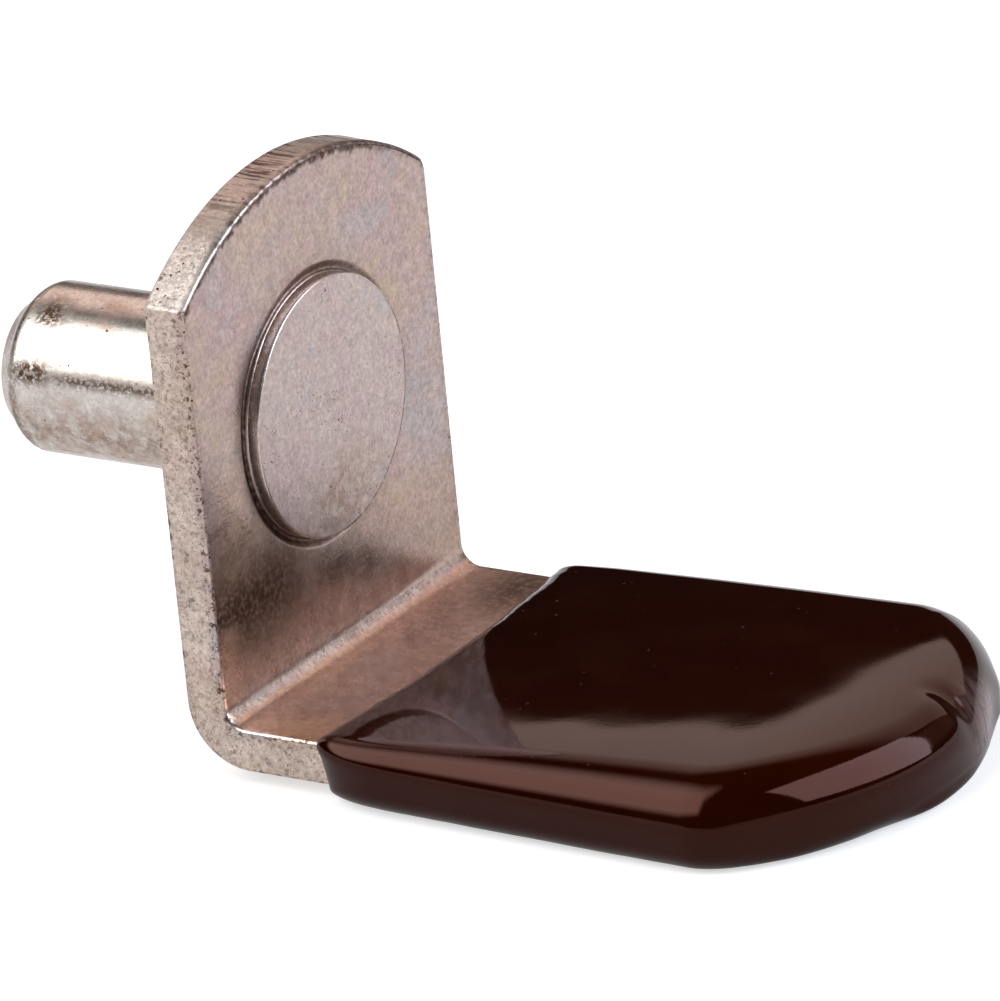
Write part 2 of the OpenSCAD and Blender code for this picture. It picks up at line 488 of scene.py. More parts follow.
@dataclass(frozen=True)
class SatinNickel:
    """Satin nickel plating over punched strip: warm, felt-like up close, pitted and stained."""

    name: str = "satin_nickel"
    base: tuple[float, float, float] = (0.540, 0.421, 0.374)
    rosy: tuple[float, float, float] = (0.550, 0.400, 0.374)
    straw: tuple[float, float, float] = (0.580, 0.444, 0.350)
    cool: tuple[float, float, float] = (0.505, 0.430, 0.416)
    # Warm dark tone of the painted shade over the plate's foot and the arm.
    warm: tuple[float, float, float] = (0.480, 0.318, 0.240)
    # Orange tone of painted highlights beside the bend and the head.
    copper: tuple[float, float, float] = (0.880, 0.590, 0.420)
    # Dark tone for muck and for painted shade.
    grime: tuple[float, float, float] = (0.060, 0.026, 0.014)
    bare: tuple[float, float, float] = (0.790, 0.710, 0.640)
    # Lighter tone that paints light on the edge walls and inside the bend.
    flank: tuple[float, float, float] = (0.690, 0.570, 0.485)
    roughness: tuple[float, float] = (0.20, 0.30)

    def material(self) -> bpy.types.Material:
        """Makes the material.

        Returns:
            A metal whose tint, gloss and relief vary over the piece. Marks on the mesh ask for painted
            shade over the plate's foot, painted orange highlights, the brighter sheared arch, edge walls
            lightened as painted light, soiled rims and painted shade in the groove.
        """
        shade = Shade(self.name)
        where = shade.place()
        colour = self.tint(shade, where)
        rim = shade.mark("rim")
        cluster = shade.ramp(shade.noise(where, 0.9, 2.0), 0.45, 0.75, (-0.09, 0.14))
        darkening = shade.maths("MAXIMUM", rim, shade.maths("MULTIPLY", shade.mark("crystal"), 0.25))
        crowd = shade.maths("ADD", cluster, shade.maths("MULTIPLY", darkening, 0.75))
        specks = shade.pits(where, 5.0, 0.19, 0.08, crowd)
        dust = shade.pits(where, 12.0, 0.20, 0.11, crowd)
        holes = shade.maths("MAXIMUM", specks, shade.maths("MULTIPLY", dust, 0.7))
        # The dark tone covers pits, muck and painted shade.
        dirt_and_shade = shade.maths("MAXIMUM", holes, self.darkening(shade, where, rim))
        shade.set(Socket.COLOUR, shade.mix(dirt_and_shade, colour, self.grime))
        shade.set(Socket.METALLIC, 1.0)
        cloud = shade.noise(where, 1.8, 4.0, 0.6)
        gloss = shade.ramp(cloud, 0.30, 0.70, self.roughness)
        dull = shade.maths("MULTIPLY", shade.mark("shear"), 0.20)
        dull = shade.maths("MAXIMUM", dull, shade.maths("MULTIPLY", dirt_and_shade, 0.25))
        shade.set(Socket.ROUGHNESS, shade.maths("ADD", gloss, dull))
        shade.set(Socket.NORMAL, self.surface(shade, where, holes))
        return shade.material

    def darkening(
        self, shade: Shade, where: bpy.types.NodeSocket, rim: bpy.types.NodeSocket
    ) -> bpy.types.NodeSocket:
        """Works out how thickly dark muck and painted shade lie.

        Args:
            shade: The material being built.
            where: Coordinates in millimetres.
            rim: How near an edge is.

        Returns:
            The thickest of five kinds: patches along the edges, blots on the flanks, dark streaks in the
            drawn lines, painted shade in the hollows between the torn crystals, and the marked muck and
            painted shade.
        """
        patchy = shade.ramp(shade.noise(where, 5.5, 6.0, 0.75), 0.50, 0.61)
        blots = shade.ramp(shade.noise(where, 3.2, 5.0, 0.72), 0.55, 0.67, (0.0, 0.6))
        drawn = shade.ramp(shade.noise(shade.place((0.5, 6.0, 6.0)), 1.0, 4.0, 0.6), 0.47, 0.60)
        torn = shade.ramp(shade.noise(where, 6.0, 5.0, 0.75, 0.6), 0.45, 0.36)
        smear = shade.ramp(shade.noise(where, 6.0, 4.0, 0.6), 0.25, 0.60, (0.58, 1.0))
        kinds = (
            (rim, patchy, 0.90),
            (shade.mark("flank"), blots, 1.0),
            (shade.mark("striation"), drawn, 0.85),
            # Painted shade in the hollows between the torn crystals.
            (shade.mark("crystal"), torn, 0.85),
            # This mark carries painted shade as well as muck.
            (shade.mark("grime"), smear, 1.0),
        )
        thickest: object = 0.0
        for mark, pattern, share in kinds:
            layer = shade.maths("MULTIPLY", shade.maths("MULTIPLY", mark, pattern), share)
            thickest = shade.maths("MAXIMUM", layer, thickest)
        return thickest

    def tint(self, shade: Shade, where: bpy.types.NodeSocket) -> bpy.types.NodeSocket:
        """Works out the metal's own colour.

        Args:
            shade: The material being built.
            where: Coordinates in millimetres.

        Returns:
            Slow clouds of four near tones, then the marked tints, which paint shade over the plate's foot,
            orange highlights and lighter edge walls, then a felt-like fine grain.
        """
        broad = shade.noise(where, 0.30, 3.0, 0.55, 0.6)
        second = shade.noise(shade.place((0.8, 0.7, 1.0)), 0.55, 3.0, 0.55, 0.4)
        colour = shade.mix(shade.ramp(broad, 0.42, 0.62), self.base, self.rosy)
        colour = shade.mix(shade.ramp(second, 0.50, 0.68), colour, self.straw)
        colour = shade.mix(shade.ramp(second, 0.50, 0.34), colour, self.cool)
        # Painted shade: the plate's foot and the arm darker and warmer.
        colour = shade.mix(shade.mark("warm"), colour, self.warm)
        # Painted orange highlights beside the bend and the head.
        colour = shade.mix(shade.mark("copper"), colour, self.copper)
        # The flank tone lightens the edge walls and the inside of the bend as painted light, in patches.
        tinted = shade.maths("MULTIPLY", shade.mark("flank"), shade.ramp(second, 0.60, 0.40, (0.5, 1.0)))
        colour = shade.mix(shade.mark("shear"), colour, self.bare)
        colour = shade.mix(tinted, colour, self.flank)
        return shade.grained(colour, where, 0.68, ((2.4, 5.0, 0.86, 1.07), (7.5, 5.0, 0.80, 1.16)))

    def surface(
        self, shade: Shade, where: bpy.types.NodeSocket, holes: bpy.types.NodeSocket
    ) -> bpy.types.NodeSocket:
        """Works out the relief.

        Args:
            shade: The material being built.
            where: Coordinates in millimetres.
            holes: 1 inside each pit.

        Returns:
            A slow unevenness, a felt-like grain, hair scratches, torn crystals and drawn lines
            where the arch was sheared, and the pits.
        """
        relief = shade.relief(shade.noise(where, 1.1, 2.0), 0.0020)
        relief = shade.relief(shade.noise(where, 7.5, 5.0, 0.68), 0.0056, relief)
        hairs = shade.ramp(shade.noise(shade.place((1.0, 0.5, 7.0)), 1.1, 3.0, 0.5, 0.8), 0.49, 0.53)
        relief = shade.relief(hairs, 0.0006, relief)
        torn = shade.noise(where, 6.0, 5.0, 0.75, 0.6)
        relief = shade.relief(shade.maths("MULTIPLY", torn, shade.mark("crystal")), 0.060, relief)
        streaks = shade.noise(shade.place((0.5, 6.0, 6.0)), 1.0, 4.0, 0.6)
        lines = shade.maths("MULTIPLY", streaks, shade.mark("striation"))
        relief = shade.relief(lines, 0.040, relief)
        return shade.relief(shade.maths("SUBTRACT", 1.0, holes), 0.012, relief)


@dataclass(frozen=True)
class BrightNickel:
    """Brighter nickel plating on the drawn pin: nearly a mirror, with specks, stains, painted shade and
    painted reflections.
    """

    name: str = "bright_nickel"
    base: tuple[float, float, float] = (0.740, 0.685, 0.635)
    warm: tuple[float, float, float] = (0.620, 0.500, 0.420)
    grime: tuple[float, float, float] = (0.085, 0.048, 0.030)
    face: tuple[float, float, float] = (0.606, 0.494, 0.446)
    face_rosy: tuple[float, float, float] = (0.590, 0.462, 0.436)
    face_cool: tuple[float, float, float] = (0.566, 0.496, 0.482)
    # Brown for the head's face, and for painted shade and a painted warm reflection on the shank.
    tinted: tuple[float, float, float] = (0.380, 0.255, 0.195)
    roughness: tuple[float, float] = (0.19, 0.28)
    face_roughness: float = 0.28

    def material(self) -> bpy.types.Material:
        """Makes the material.

        Returns:
            A metal that is glossy on the shank and satin on the head's face. Marks on the mesh ask
            for the head's own colour, for mottled painted shade and dark painted reflections, for specks
            that crowd in those, and for brown on the head's face with painted shade and a painted warm
            reflection on the shank.
        """
        shade = Shade(self.name)
        where = shade.place()
        head = shade.mark("head")
        cloud = shade.noise(shade.place((0.7, 1.0, 1.0)), 1.3, 5.0, 0.6)
        colour = shade.mix(shade.ramp(cloud, 0.46, 0.70), self.base, self.warm)
        colour = shade.mix(head, colour, self.face_tint(shade, where))
        # Brown low on the head's face, painted shade low on the shank and a painted warm reflection high
        # on it.
        blots = shade.ramp(shade.noise(where, 2.2, 5.0, 0.65, 0.5), 0.34, 0.62)
        colour = shade.mix(shade.maths("MULTIPLY", shade.mark("stain"), blots), colour, self.tinted)
        colour = shade.grained(colour, where, 0.65, ((3.0, 4.0, 0.93, 1.05), (8.5, 5.0, 0.87, 1.10)))
        cluster = shade.ramp(shade.noise(where, 0.8, 2.0), 0.45, 0.7, (-0.06, 0.10))
        crowd = shade.maths("ADD", cluster, shade.maths("MULTIPLY", shade.mark("speck"), 0.45))
        specks = shade.pits(where, 5.5, 0.17, 0.08, crowd)
        dust = shade.pits(where, 12.0, 0.22, 0.08, crowd)
        # Mottled painted shade and dark painted reflections, with a darker bevel.
        mottled = shade.ramp(shade.noise(where, 7.0, 6.0, 0.75), 0.38, 0.52)
        soot = shade.maths("MULTIPLY", shade.mark("soot"), mottled)
        dirt_and_shade = shade.maths("MAXIMUM", shade.maths("MAXIMUM", specks, dust), soot)
        shade.set(Socket.COLOUR, shade.mix(dirt_and_shade, colour, self.grime))
        shade.set(Socket.METALLIC, 1.0)
        gloss = shade.ramp(cloud, 0.3, 0.7, self.roughness)
        satin = shade.maths("MULTIPLY", head, self.face_roughness - self.roughness[0])
        gloss = shade.maths("ADD", gloss, satin)
        shade.set(Socket.ROUGHNESS, shade.maths("ADD", gloss, shade.maths("MULTIPLY", dirt_and_shade, 0.3)))
        relief = shade.relief(shade.noise(shade.place((0.35, 1.0, 1.0)), 1.8, 3.0, 0.55), 0.007)
        relief = shade.relief(shade.noise(where, 8.5, 5.0, 0.65), 0.0026, relief)
        hairs = shade.ramp(shade.noise(shade.place((1.0, 5.0, 0.8)), 1.2, 3.0, 0.5, 1.2), 0.49, 0.53)
        relief = shade.relief(shade.maths("MULTIPLY", hairs, head), 0.0010, relief)
        shade.set(Socket.NORMAL, shade.relief(shade.maths("SUBTRACT", 1.0, specks), 0.010, relief))
        return shade.material

    def face_tint(self, shade: Shade, where: bpy.types.NodeSocket) -> bpy.types.NodeSocket:
        """Works out the head's colour.

        Args:
            shade: The material being built.
            where: Coordinates in millimetres.

        Returns:
            Clouds of three near tones under a felt-like grain.
        """
        tone = shade.noise(where, 0.45, 4.0, 0.6, 0.5)
        colour = shade.mix(shade.ramp(tone, 0.52, 0.40), self.face, self.face_rosy)
        colour = shade.mix(shade.ramp(tone, 0.55, 0.68), colour, self.face_cool)
        return shade.grained(colour, where, 0.68, ((2.4, 5.0, 0.90, 1.06), (7.5, 5.0, 0.84, 1.12)))


@dataclass(frozen=True)
class GlossVinyl:
    """Thick dipped vinyl: near-black chocolate brown, wet-looking, with dust under the gloss."""

    name: str = "gloss_vinyl"
    deep: tuple[float, float, float] = (0.0118, 0.0013, 0.0002)
    warm: tuple[float, float, float] = (0.0140, 0.0019, 0.0004)
    dust: tuple[float, float, float] = (0.0500, 0.0220, 0.0140)
    # Pale tone of a painted reflection on the nub.
    pale_reflection: tuple[float, float, float] = (0.330, 0.240, 0.220)
    sheen_tint: tuple[float, float, float] = (1.0, 0.46, 0.37)
    gloss: float = 0.305
    roughness: tuple[float, float] = (0.040, 0.075)

    def material(self) -> bpy.types.Material:
        """Makes the material.

        Returns:
            A dark dielectric with a soft large waviness, faint colour clouds and pale dust specks.
            A mark on the mesh asks for a streaky pale painted reflection on the nub.
        """
        shade = Shade(self.name)
        where = shade.place()
        cloud = shade.noise(where, 0.35, 3.0, 0.5, 0.5)
        colour = shade.mix(shade.ramp(cloud, 0.42, 0.68), self.deep, self.warm)
        crowd = shade.ramp(shade.noise(where, 0.5, 2.0), 0.4, 0.7, (-0.03, 0.05))
        motes = shade.pits(where, 5.0, 0.13, 0.06, crowd)
        colour = shade.mix(shade.maths("MULTIPLY", motes, 0.5), colour, self.dust)
        # Painted reflection: a pale streaky sheen on the nub at the tip, which is also made rougher.
        drawn = shade.ramp(shade.noise(shade.place((1.0, 6.0, 1.2)), 1.3, 4.0, 0.65), 0.28, 0.60)
        scuff = shade.maths("MULTIPLY", shade.mark("scuff"), drawn)
        shade.set(Socket.COLOUR, shade.mix(shade.maths("MULTIPLY", scuff, 0.8), colour, self.pale_reflection))
        gloss = shade.ramp(cloud, 0.3, 0.7, self.roughness)
        shade.set(Socket.ROUGHNESS, shade.maths("ADD", gloss, shade.maths("MULTIPLY", scuff, 0.3)))
        shade.set(Socket.SPECULAR, self.gloss)
        shade.set(Socket.SPECULAR_TINT, self.sheen_tint)
        relief = shade.relief(shade.noise(where, 0.30, 1.0), 0.010)
        relief = shade.relief(shade.noise(where, 9.0, 3.0), 0.0006, relief)
        relief = shade.relief(motes, 0.004, relief)
        shade.set(Socket.NORMAL, relief)
        return shade.material


# ---------------------------------------------------------------- the bent strip


@dataclass
class Bracket:
    """The bent strip: an arched plate, a quarter bend and a level arm with an arched end.

    A point of the strip is given by q, w and d. q runs along the inner face, from 0 where the bend
    begins: up the plate where positive, round the bend and out along the arm where negative. w runs
    across the strip, and d goes down into the metal from the inner face.
    """

    half_width: float = 6.35
    thickness: float = 1.3
    bend_radius: float = 0.6
    arm_drop: float = 7.4
    crown_height: float = 7.4
    crown_rise: float = 2.25
    arm_reach: float = 20.3
    arm_end_rise: float = 3.2
    hole_front: float = 2.7
    hole_back: float = 2.75
    head_radius: float = 3.825
    groove_width: float = 0.325
    groove_depth: float = 0.11
    dish_width: float = 0.75
    dish_depth: float = 0.024
    unevenness: float = 0.010
    near_corner: float = 0.19
    far_corner: float = 0.70
    edge_front: float = 0.13
    edge_back: float = 0.17
    shear_slant: float = 0.07
    burr_height: float = 0.045
    columns: int = 72
    side_steps: int = 52
    corner_clear: tuple[float, float] = (0.15, 0.06)
    corner_steps: int = 9
    arch_steps: int = 130
    bend_steps: int = 17
    bare_arm: float = 4.0
    bare_steps: int = 24
    hidden_steps: int = 14
    finish: SatinNickel = field(default_factory=SatinNickel)

    @property
    def bend_length(self) -> float:
        """Length of the bend along the inner face."""
        return self.bend_radius * QUARTER

    @property
    def axis_q(self) -> float:
        """Place of the pin's axis along the strip."""
        return self.arm_drop - self.bend_radius

    @property
    def crown_q(self) -> float:
        """Place of the crown along the strip."""
        return self.crown_height + self.axis_q

    @property
    def corner_q(self) -> float:
        """Place along the strip of the arm's two corners, where its end arc starts."""
        reach = self.arm_reach - self.thickness - self.bend_radius + self.bend_length
        return self.arm_end_rise - reach

    @property
    def arch_radius(self) -> float:
        """Radius of the plate's arch."""
        return self.arc_radius(self.crown_rise)

    @property
    def arch_q(self) -> float:
        """Place along the strip of the centre of the plate's arch."""
        return self.crown_q - self.arch_radius

    @property
    def axis(self) -> Array:
        """The point (q, w) on the pin's axis."""
        return np.array([self.axis_q, 0.0])

    @property
    def groove_lip(self) -> float:
        """Radius of the groove's outer lip."""
        return self.head_radius + self.groove_width

    def arc_radius(self, rise: float) -> float:
        """Radius of an arc across the whole width that rises by a given height."""
        return (self.half_width**2 + rise**2) / (2.0 * rise)

    def fold(self, q: Array, w: Array, d: Array) -> Array:
        """Folds points of the flat strip into the bent one.

        Args:
            q: Distance along the inner face.
            w: Distance across.
            d: Depth below the inner face.

        Returns:
            Points in millimetres. In the bend they turn about its centre at the inner radius plus
            the depth, by the angle that q spans on the inner radius.
        """
        turn = np.clip(-q / self.bend_radius, 0.0, QUARTER)
        along = np.maximum(-q - self.bend_length, 0.0)
        up = np.maximum(q, 0.0)
        radius = self.bend_radius + d
        x = self.thickness + self.bend_radius - radius * np.cos(turn) + along
        z = self.bend_radius - self.arm_drop - radius * np.sin(turn) + up
        return np.stack(np.broadcast_arrays(x, w, z), axis=-1)

    def groove(self, radius: Array, angle: Array) -> Array:
        """Depth of the pressed groove round the head.

        Args:
            radius: Distance from the pin's axis.
            angle: Direction about that axis, from the top towards +w.

        Returns:
            A round-bottomed groove between the head's edge and its outer lip, deepest on the lower
            near side, in a shallow dish about a millimetre wide.
        """
        uneven = 1.0 + 0.22 * np.cos(angle + 2.1) + 0.08 * np.sin(5.0 * angle + 0.4)
        beyond = radius - self.head_radius
        share = np.clip(beyond / self.groove_width, 0.0, 1.0)
        channel = self.groove_depth * np.sin(math.pi * np.sqrt(share)) ** 1.3 * uneven
        dish = self.dish_depth * bump(0.0, self.dish_width, beyond) * (beyond > 0.0)
        return channel + dish * uneven

    def about_axis(self, q: Array, w: Array) -> tuple[Array, Array]:
        """Gives the distance from the pin's axis, and the direction from the top towards +w."""
        return np.hypot(q - self.axis_q, w), np.arctan2(w, q - self.axis_q)

    def swell(self, q: Array, w: Array) -> Array:
        """Very shallow unevenness of the rolled and pressed faces, in millimetres."""
        return self.unevenness * waves(q, w, 11, 9.0)

    def beside_edge(self, w: Array) -> Array:
        """Rises from 0 at the strip's sides to 1 a millimetre inside them."""
        return smooth_step(0.0, 1.0, self.half_width - self.edge_front - np.abs(w))

    def fade(self, q: Array, w: Array) -> Array:
        """Falls to 0 along the strip's sides and the arm's end, where the faces meet the edge."""
        return self.beside_edge(w) * smooth_step(self.corner_q, self.corner_q + 3.0, q)

    def plate_outline(self) -> tuple[Array, Array, Array]:
        """Walks round the plate's free edge, from the bend's near end to its far end.

        Returns:
            Points (q, w), their outward directions (q, w), and how far each lies on the sheared
            arch, from 0 on the straight sides to 1 on the arch. The sides are straight, the arch is
            one arc, and an arc of the corner's radius joins them.
        """
        arch_r, arch_q = self.arch_radius, self.arch_q
        sides = []
        for side, corner in ((-1.0, self.near_corner), (1.0, self.far_corner)):
            across = self.half_width - corner
            corner_q = arch_q + math.sqrt((arch_r - corner) ** 2 - across**2)
            meet = math.atan2(across, corner_q - arch_q)
            evenly = np.linspace(0.0, corner_q - self.corner_clear[0], self.side_steps)
            straight = np.append(evenly, corner_q - self.corner_clear[1])
            turn = np.linspace(QUARTER, meet, self.corner_steps)
            q = np.concatenate([straight, corner_q + corner * np.cos(turn)])
            w = np.concatenate([np.full(len(straight), self.half_width), across + corner * np.sin(turn)])
            facing = np.concatenate([np.full(len(straight), QUARTER), turn])
            on_arch = np.concatenate([np.zeros(len(straight)), np.linspace(0.0, 1.0, len(turn))])
            sides.append((q, side * w, side * facing, on_arch, side * meet))
        near, far = sides
        sweep = np.linspace(near[4], far[4], self.arch_steps)[1:-1]
        q = np.concatenate([near[0], arch_q + arch_r * np.cos(sweep), far[0][::-1]])
        w = np.concatenate([near[1], arch_r * np.sin(sweep), far[1][::-1]])
        facing = np.concatenate([near[2], sweep, far[2][::-1]])
        on_arch = np.concatenate([near[3], np.ones(len(sweep)), far[3][::-1]])
        return np.stack([q, w], -1), np.stack([np.cos(facing), np.sin(facing)], -1), on_arch

    def arm_rows(self, inset: float) -> Array:
        """Lays rows across the bend and the arm, from the arm's end up to the bend's start.

        Args:
            inset: How far the rows stop short of the strip's outline.

        Returns:
            Points (q, w) of shape (rows, columns, 2). Rows are straight, and bow out evenly over
            the last stretch until the last one is the arm's end arc.
        """
        half = self.half_width - inset
        end_r = self.arc_radius(self.arm_end_rise) - inset
        w = np.linspace(-half, half, self.columns + 1)
        bow = np.sqrt(end_r**2 - w**2) - math.sqrt(end_r**2 - half**2)
        bent = np.linspace(0.0, -self.bend_length, self.bend_steps)
        bare = np.linspace(bent[-1], bent[-1] - self.bare_arm, self.bare_steps)[1:]
        hidden = np.linspace(bare[-1], self.corner_q, self.hidden_steps)[1:-1]
        q = np.concatenate([bent, bare, hidden, [self.corner_q + inset]])[::-1]
        share = np.clip((bare[-1] - q) / (bare[-1] - q[0]), 0.0, 1.0)
        return np.stack(np.broadcast_arrays(q[:, None] - bow[None, :] * share[:, None], w[None, :]), -1)

    def plate_rings(self, loop: Array, circles: Array, steps: Array) -> Array:
        """Lays rings over one face of the plate.

        Args:
            loop: Closed outline (q, w) of the face.
            circles: Radii of the rings that are circles about the pin's axis, from the hole out.
            steps: Share of the way from the last circle to the outline, for each ring beyond it.

        Returns:
            Points (q, w) of shape (rings, points, 2), on straight lines from the axis.
        """
        away = loop - self.axis
        reach = np.linalg.norm(away, axis=1)
        round_rings = np.repeat(circles[:, None], len(loop), axis=1)
        spread = circles[-1] + (reach[None, :] - circles[-1]) * steps[:, None]
        radius = np.concatenate([round_rings, spread])
        return self.axis + (away / reach[:, None])[None] * radius[..., None]

    def edge_profile(self) -> tuple[Array, Array]:
        """Cross-sections of the strip's edge, from the inner face over to the outer face.

        Returns:
            Two arrays of (outward offset, depth): the plain rounded edge of the sides, and the
            sheared edge of the arch. The plain one is a quarter round, a wall and a quarter round.
            The sheared one dips, rises to a thin burr, slants outwards and rolls over at the back.
        """
        turn = np.linspace(0.0, QUARTER, 7)
        front, back, deep = self.edge_front, self.edge_back, self.thickness
        wall = np.linspace(front, deep - back, 8)[1:-1]
        plain = np.concatenate(
            [
                np.stack([-front + front * np.sin(turn), front - front * np.cos(turn)], -1),
                np.stack([np.zeros(len(wall)), wall], -1),
                np.stack([-back + back * np.cos(turn), deep - back + back * np.sin(turn)], -1),
            ]
        )
        lip = self.burr_height
        sheared = plain.copy()
        sheared[: len(turn)] = [
            (-front, 0.0),
            (-front * 0.86, 0.020),
            (-front * 0.74, 0.026),
            (-front * 0.62, -lip * 0.3),
            (-front * 0.48, -lip),
            (-front * 0.12, -lip * 0.25),
            (front * 0.14, 0.04),
        ]
        upright = slice(len(turn), len(turn) + len(wall))
        sheared[upright, 0] = np.linspace(0.02, -0.01, len(wall))
        sheared[upright, 1] = np.linspace(0.10, deep - back, len(wall) + 2)[1:-1]
        sheared[:, 0] += np.interp(sheared[:, 1], [0.0, deep], [-self.shear_slant, 0.0])
        sheared[0, 0] = -front
        sheared[-1] = plain[-1]
        return plain, sheared

    def mesh(self) -> bpy.types.Object:
        """Builds the strip.

        Returns:
            One closed mesh: the two faces of the arm and bend, the two faces of the plate, the
            band round the whole edge and the wall of the pin's hole.
        """
        work = Patchwork()
        outline, facing, on_arch = self.plate_outline()
        front_arm, back_arm = self.arm_rows(self.edge_front), self.arm_rows(self.edge_back)
        self.add_arm_face(work, front_arm, 0.0)
        self.add_arm_face(work, back_arm, self.thickness)
        front_hole = self.add_front(work, self.face_loop(outline, facing, self.edge_front, front_arm))
        back_hole = self.add_back(work, self.face_loop(outline, facing, self.edge_back, back_arm))
        work.add(np.stack([front_hole, back_hole]))
        self.add_edge(work, outline, facing, on_arch, front_arm[:-1, 0, 0])
        return work.build("nickel_bracket")

    @staticmethod
    def face_loop(outline: Array, facing: Array, inset: float, arm: Array) -> Array:
        """Closes a face's outline along the line where the bend begins.

        Args:
            outline: Points (q, w) round the plate's free edge.
            facing: Their outward directions.
            inset: How far the face stops short of the outline.
            arm: Rows of the same face of the arm, of which the last lies where the bend begins.

        Returns:
            Points (q, w), of which the last is the first again.
        """
        loop = np.concatenate([outline - facing * inset, arm[-1, ::-1][1:-1]])
        return np.concatenate([loop, loop[:1]])

    def add_arm_face(self, work: Patchwork, rows: Array, depth: float) -> None:
        """Adds the inner or the outer face of the arm and the bend.

        Args:
            work: The patchwork.
            rows: Points (q, w) of the face.
            depth: 0 for the inner face, and the strip's thickness for the outer one.
        """
        q, w = rows[..., 0], rows[..., 1]
        inner = depth == 0.0
        uneven = self.fade(q, w) * self.swell(q, w) * float(inner)
        work.add(self.fold(q, w, depth + uneven), **self.face_marks(q, w, inner))

    def face_marks(self, q: Array, w: Array, inner: bool) -> dict[str, Array]:
        """Works out the tints of a face.

        Args:
            q: Distance along the strip.
            w: Distance across.
            inner: Whether it is the face that carries the head and the shelf.

        Returns:
            An orange mark, a painted highlight strongest in strips beside the near edge on both sides
            of the bend and beside the head, the warm mark, painted shade over the plate's foot and the
            bare arm, the rim mark along the edges, painted shade low on the plate's near side and a dark
            patch by the vinyl's far lip, and a lighter tint inside the bend painted as a highlight.
        """
        near_edge = smooth_step(2.3, 0.3, w + self.half_width)
        by_bend = np.maximum(bump(1.7, 1.5, q), bump(-2.9, 1.9, q))
        beside_head = bump(4.6, 1.9, q) * bump(-4.9, 0.9, w)
        # Painted highlight: orange glints beside the near edge on both sides of the bend and beside the
        # head.
        copper = 0.75 * near_edge * by_bend + 0.60 * beside_head
        # Painted shade: the plate's foot and the arm darker and warmer, most on the plate's lower near
        # side.
        foot = smooth_step(5.4, 1.6, q + 0.12 * w + 0.5 * waves(q, w, 31, 6.0, 4))
        foot = foot * (0.55 + 0.45 * bump(3.0, 1.7, q) * smooth_step(1.5, -3.5, w))
        rim = smooth_step(0.42, 0.0, self.half_width - np.abs(w))
        # Painted shade low on the plate's near side, and a dark patch by the vinyl's far lip.
        soil_and_shade = bump(2.5, 1.7, q) * smooth_step(0.5, -3.4, w)
        soil_and_shade = soil_and_shade * (1.0 - 0.9 * smooth_step(-5.1, -5.8, w) * smooth_step(2.4, 1.7, q))
        soil_and_shade = np.maximum(soil_and_shade, 0.90 * bump(-2.9, 1.6, q) * bump(5.3, 2.6, w))
        # Painted highlight: a lighter tint inside the bend, which takes the painted shade off there.
        fillet_highlight = 0.18 * bump(-0.42, 0.42, q)
        if not inner:
            copper, foot, soil_and_shade, fillet_highlight = copper * 0.3, foot * 0.4, soil_and_shade * 0.0, fillet_highlight * 0.0
        return {
            "copper": np.clip(copper, 0.0, 1.0),
            "warm": foot * (1.0 - fillet_highlight),
            "rim": 0.8 * rim,
            "grime": soil_and_shade,
            "flank": fillet_highlight,
        }

    def add_front(self, work: Patchwork, loop: Array) -> Array:
        """Adds the plate's front face, with the groove round the head.

        Args:
            work: The patchwork.
            loop: Closed outline (q, w) of the face.

        Returns:
            The points round the hole. The rings lie close together in the groove and spread
            evenly from there to the outline.
        """
        lip = self.groove_lip
        circles = np.concatenate(
            [
                np.linspace(self.hole_front, self.head_radius - 0.12, 5),
                np.linspace(self.head_radius - 0.06, lip, 22),
                [lip + 0.05, lip + 0.15],
            ]
        )
        steps = np.concatenate([np.linspace(0.0, 0.88, 20)[1:], np.linspace(0.88, 1.0, 9)[1:]])
        rings = self.plate_rings(loop, circles, steps)
        q, w = rings[..., 0], rings[..., 1]
        points = self.fold(q, w, self.front_depth(q, w))
        work.add(points, **self.front_marks(q, w))
        return points[0]

    def front_depth(self, q: Array, w: Array) -> Array:
        """Works out how far the plate's front face lies below the flat.

        Args:
            q: Distance along the strip, for rings of points from the hole to the outline.
            w: Distance across, for the same points.

        Returns:
            The groove and the face's unevenness, which dies out at the outline and runs on into
            the bend without a step.
        """
        radius, angle = self.about_axis(q, w)
        share = np.linspace(0.0, 1.0, len(q))[:, None]
        still = smooth_step(1.0, 0.8, share) * smooth_step(0.0, 0.6, q)
        depth = self.groove(radius, angle) * (radius > self.head_radius - 0.01)
        depth = depth + self.swell(q, w) * np.where(q < 0.6, self.beside_edge(w), still)
        bend_line = self.fade(q[-1], w[-1]) * self.swell(q[-1], w[-1])
        depth[-1] = np.where(q[-1] <= 1e-6, bend_line, 0.0)
        return depth

    def front_marks(self, q: Array, w: Array) -> dict[str, Array]:
        """Works out the tints of the plate's front face.

        Args:
            q: Distance along the strip.
            w: Distance across.

        Returns:
            Those of any face, with a soiled rim along the arch, painted shade in the groove that is
            darkest on the lower near side, and a ragged line of painted shade under the arch's burr.
        """
        marks = self.face_marks(q, w, True)
        radius, angle = self.about_axis(q, w)
        below_arch = self.arch_radius - np.hypot(q - self.arch_q, w)
        marks["rim"] = np.maximum(marks["rim"], 0.9 * smooth_step(0.42, 0.12, below_arch))
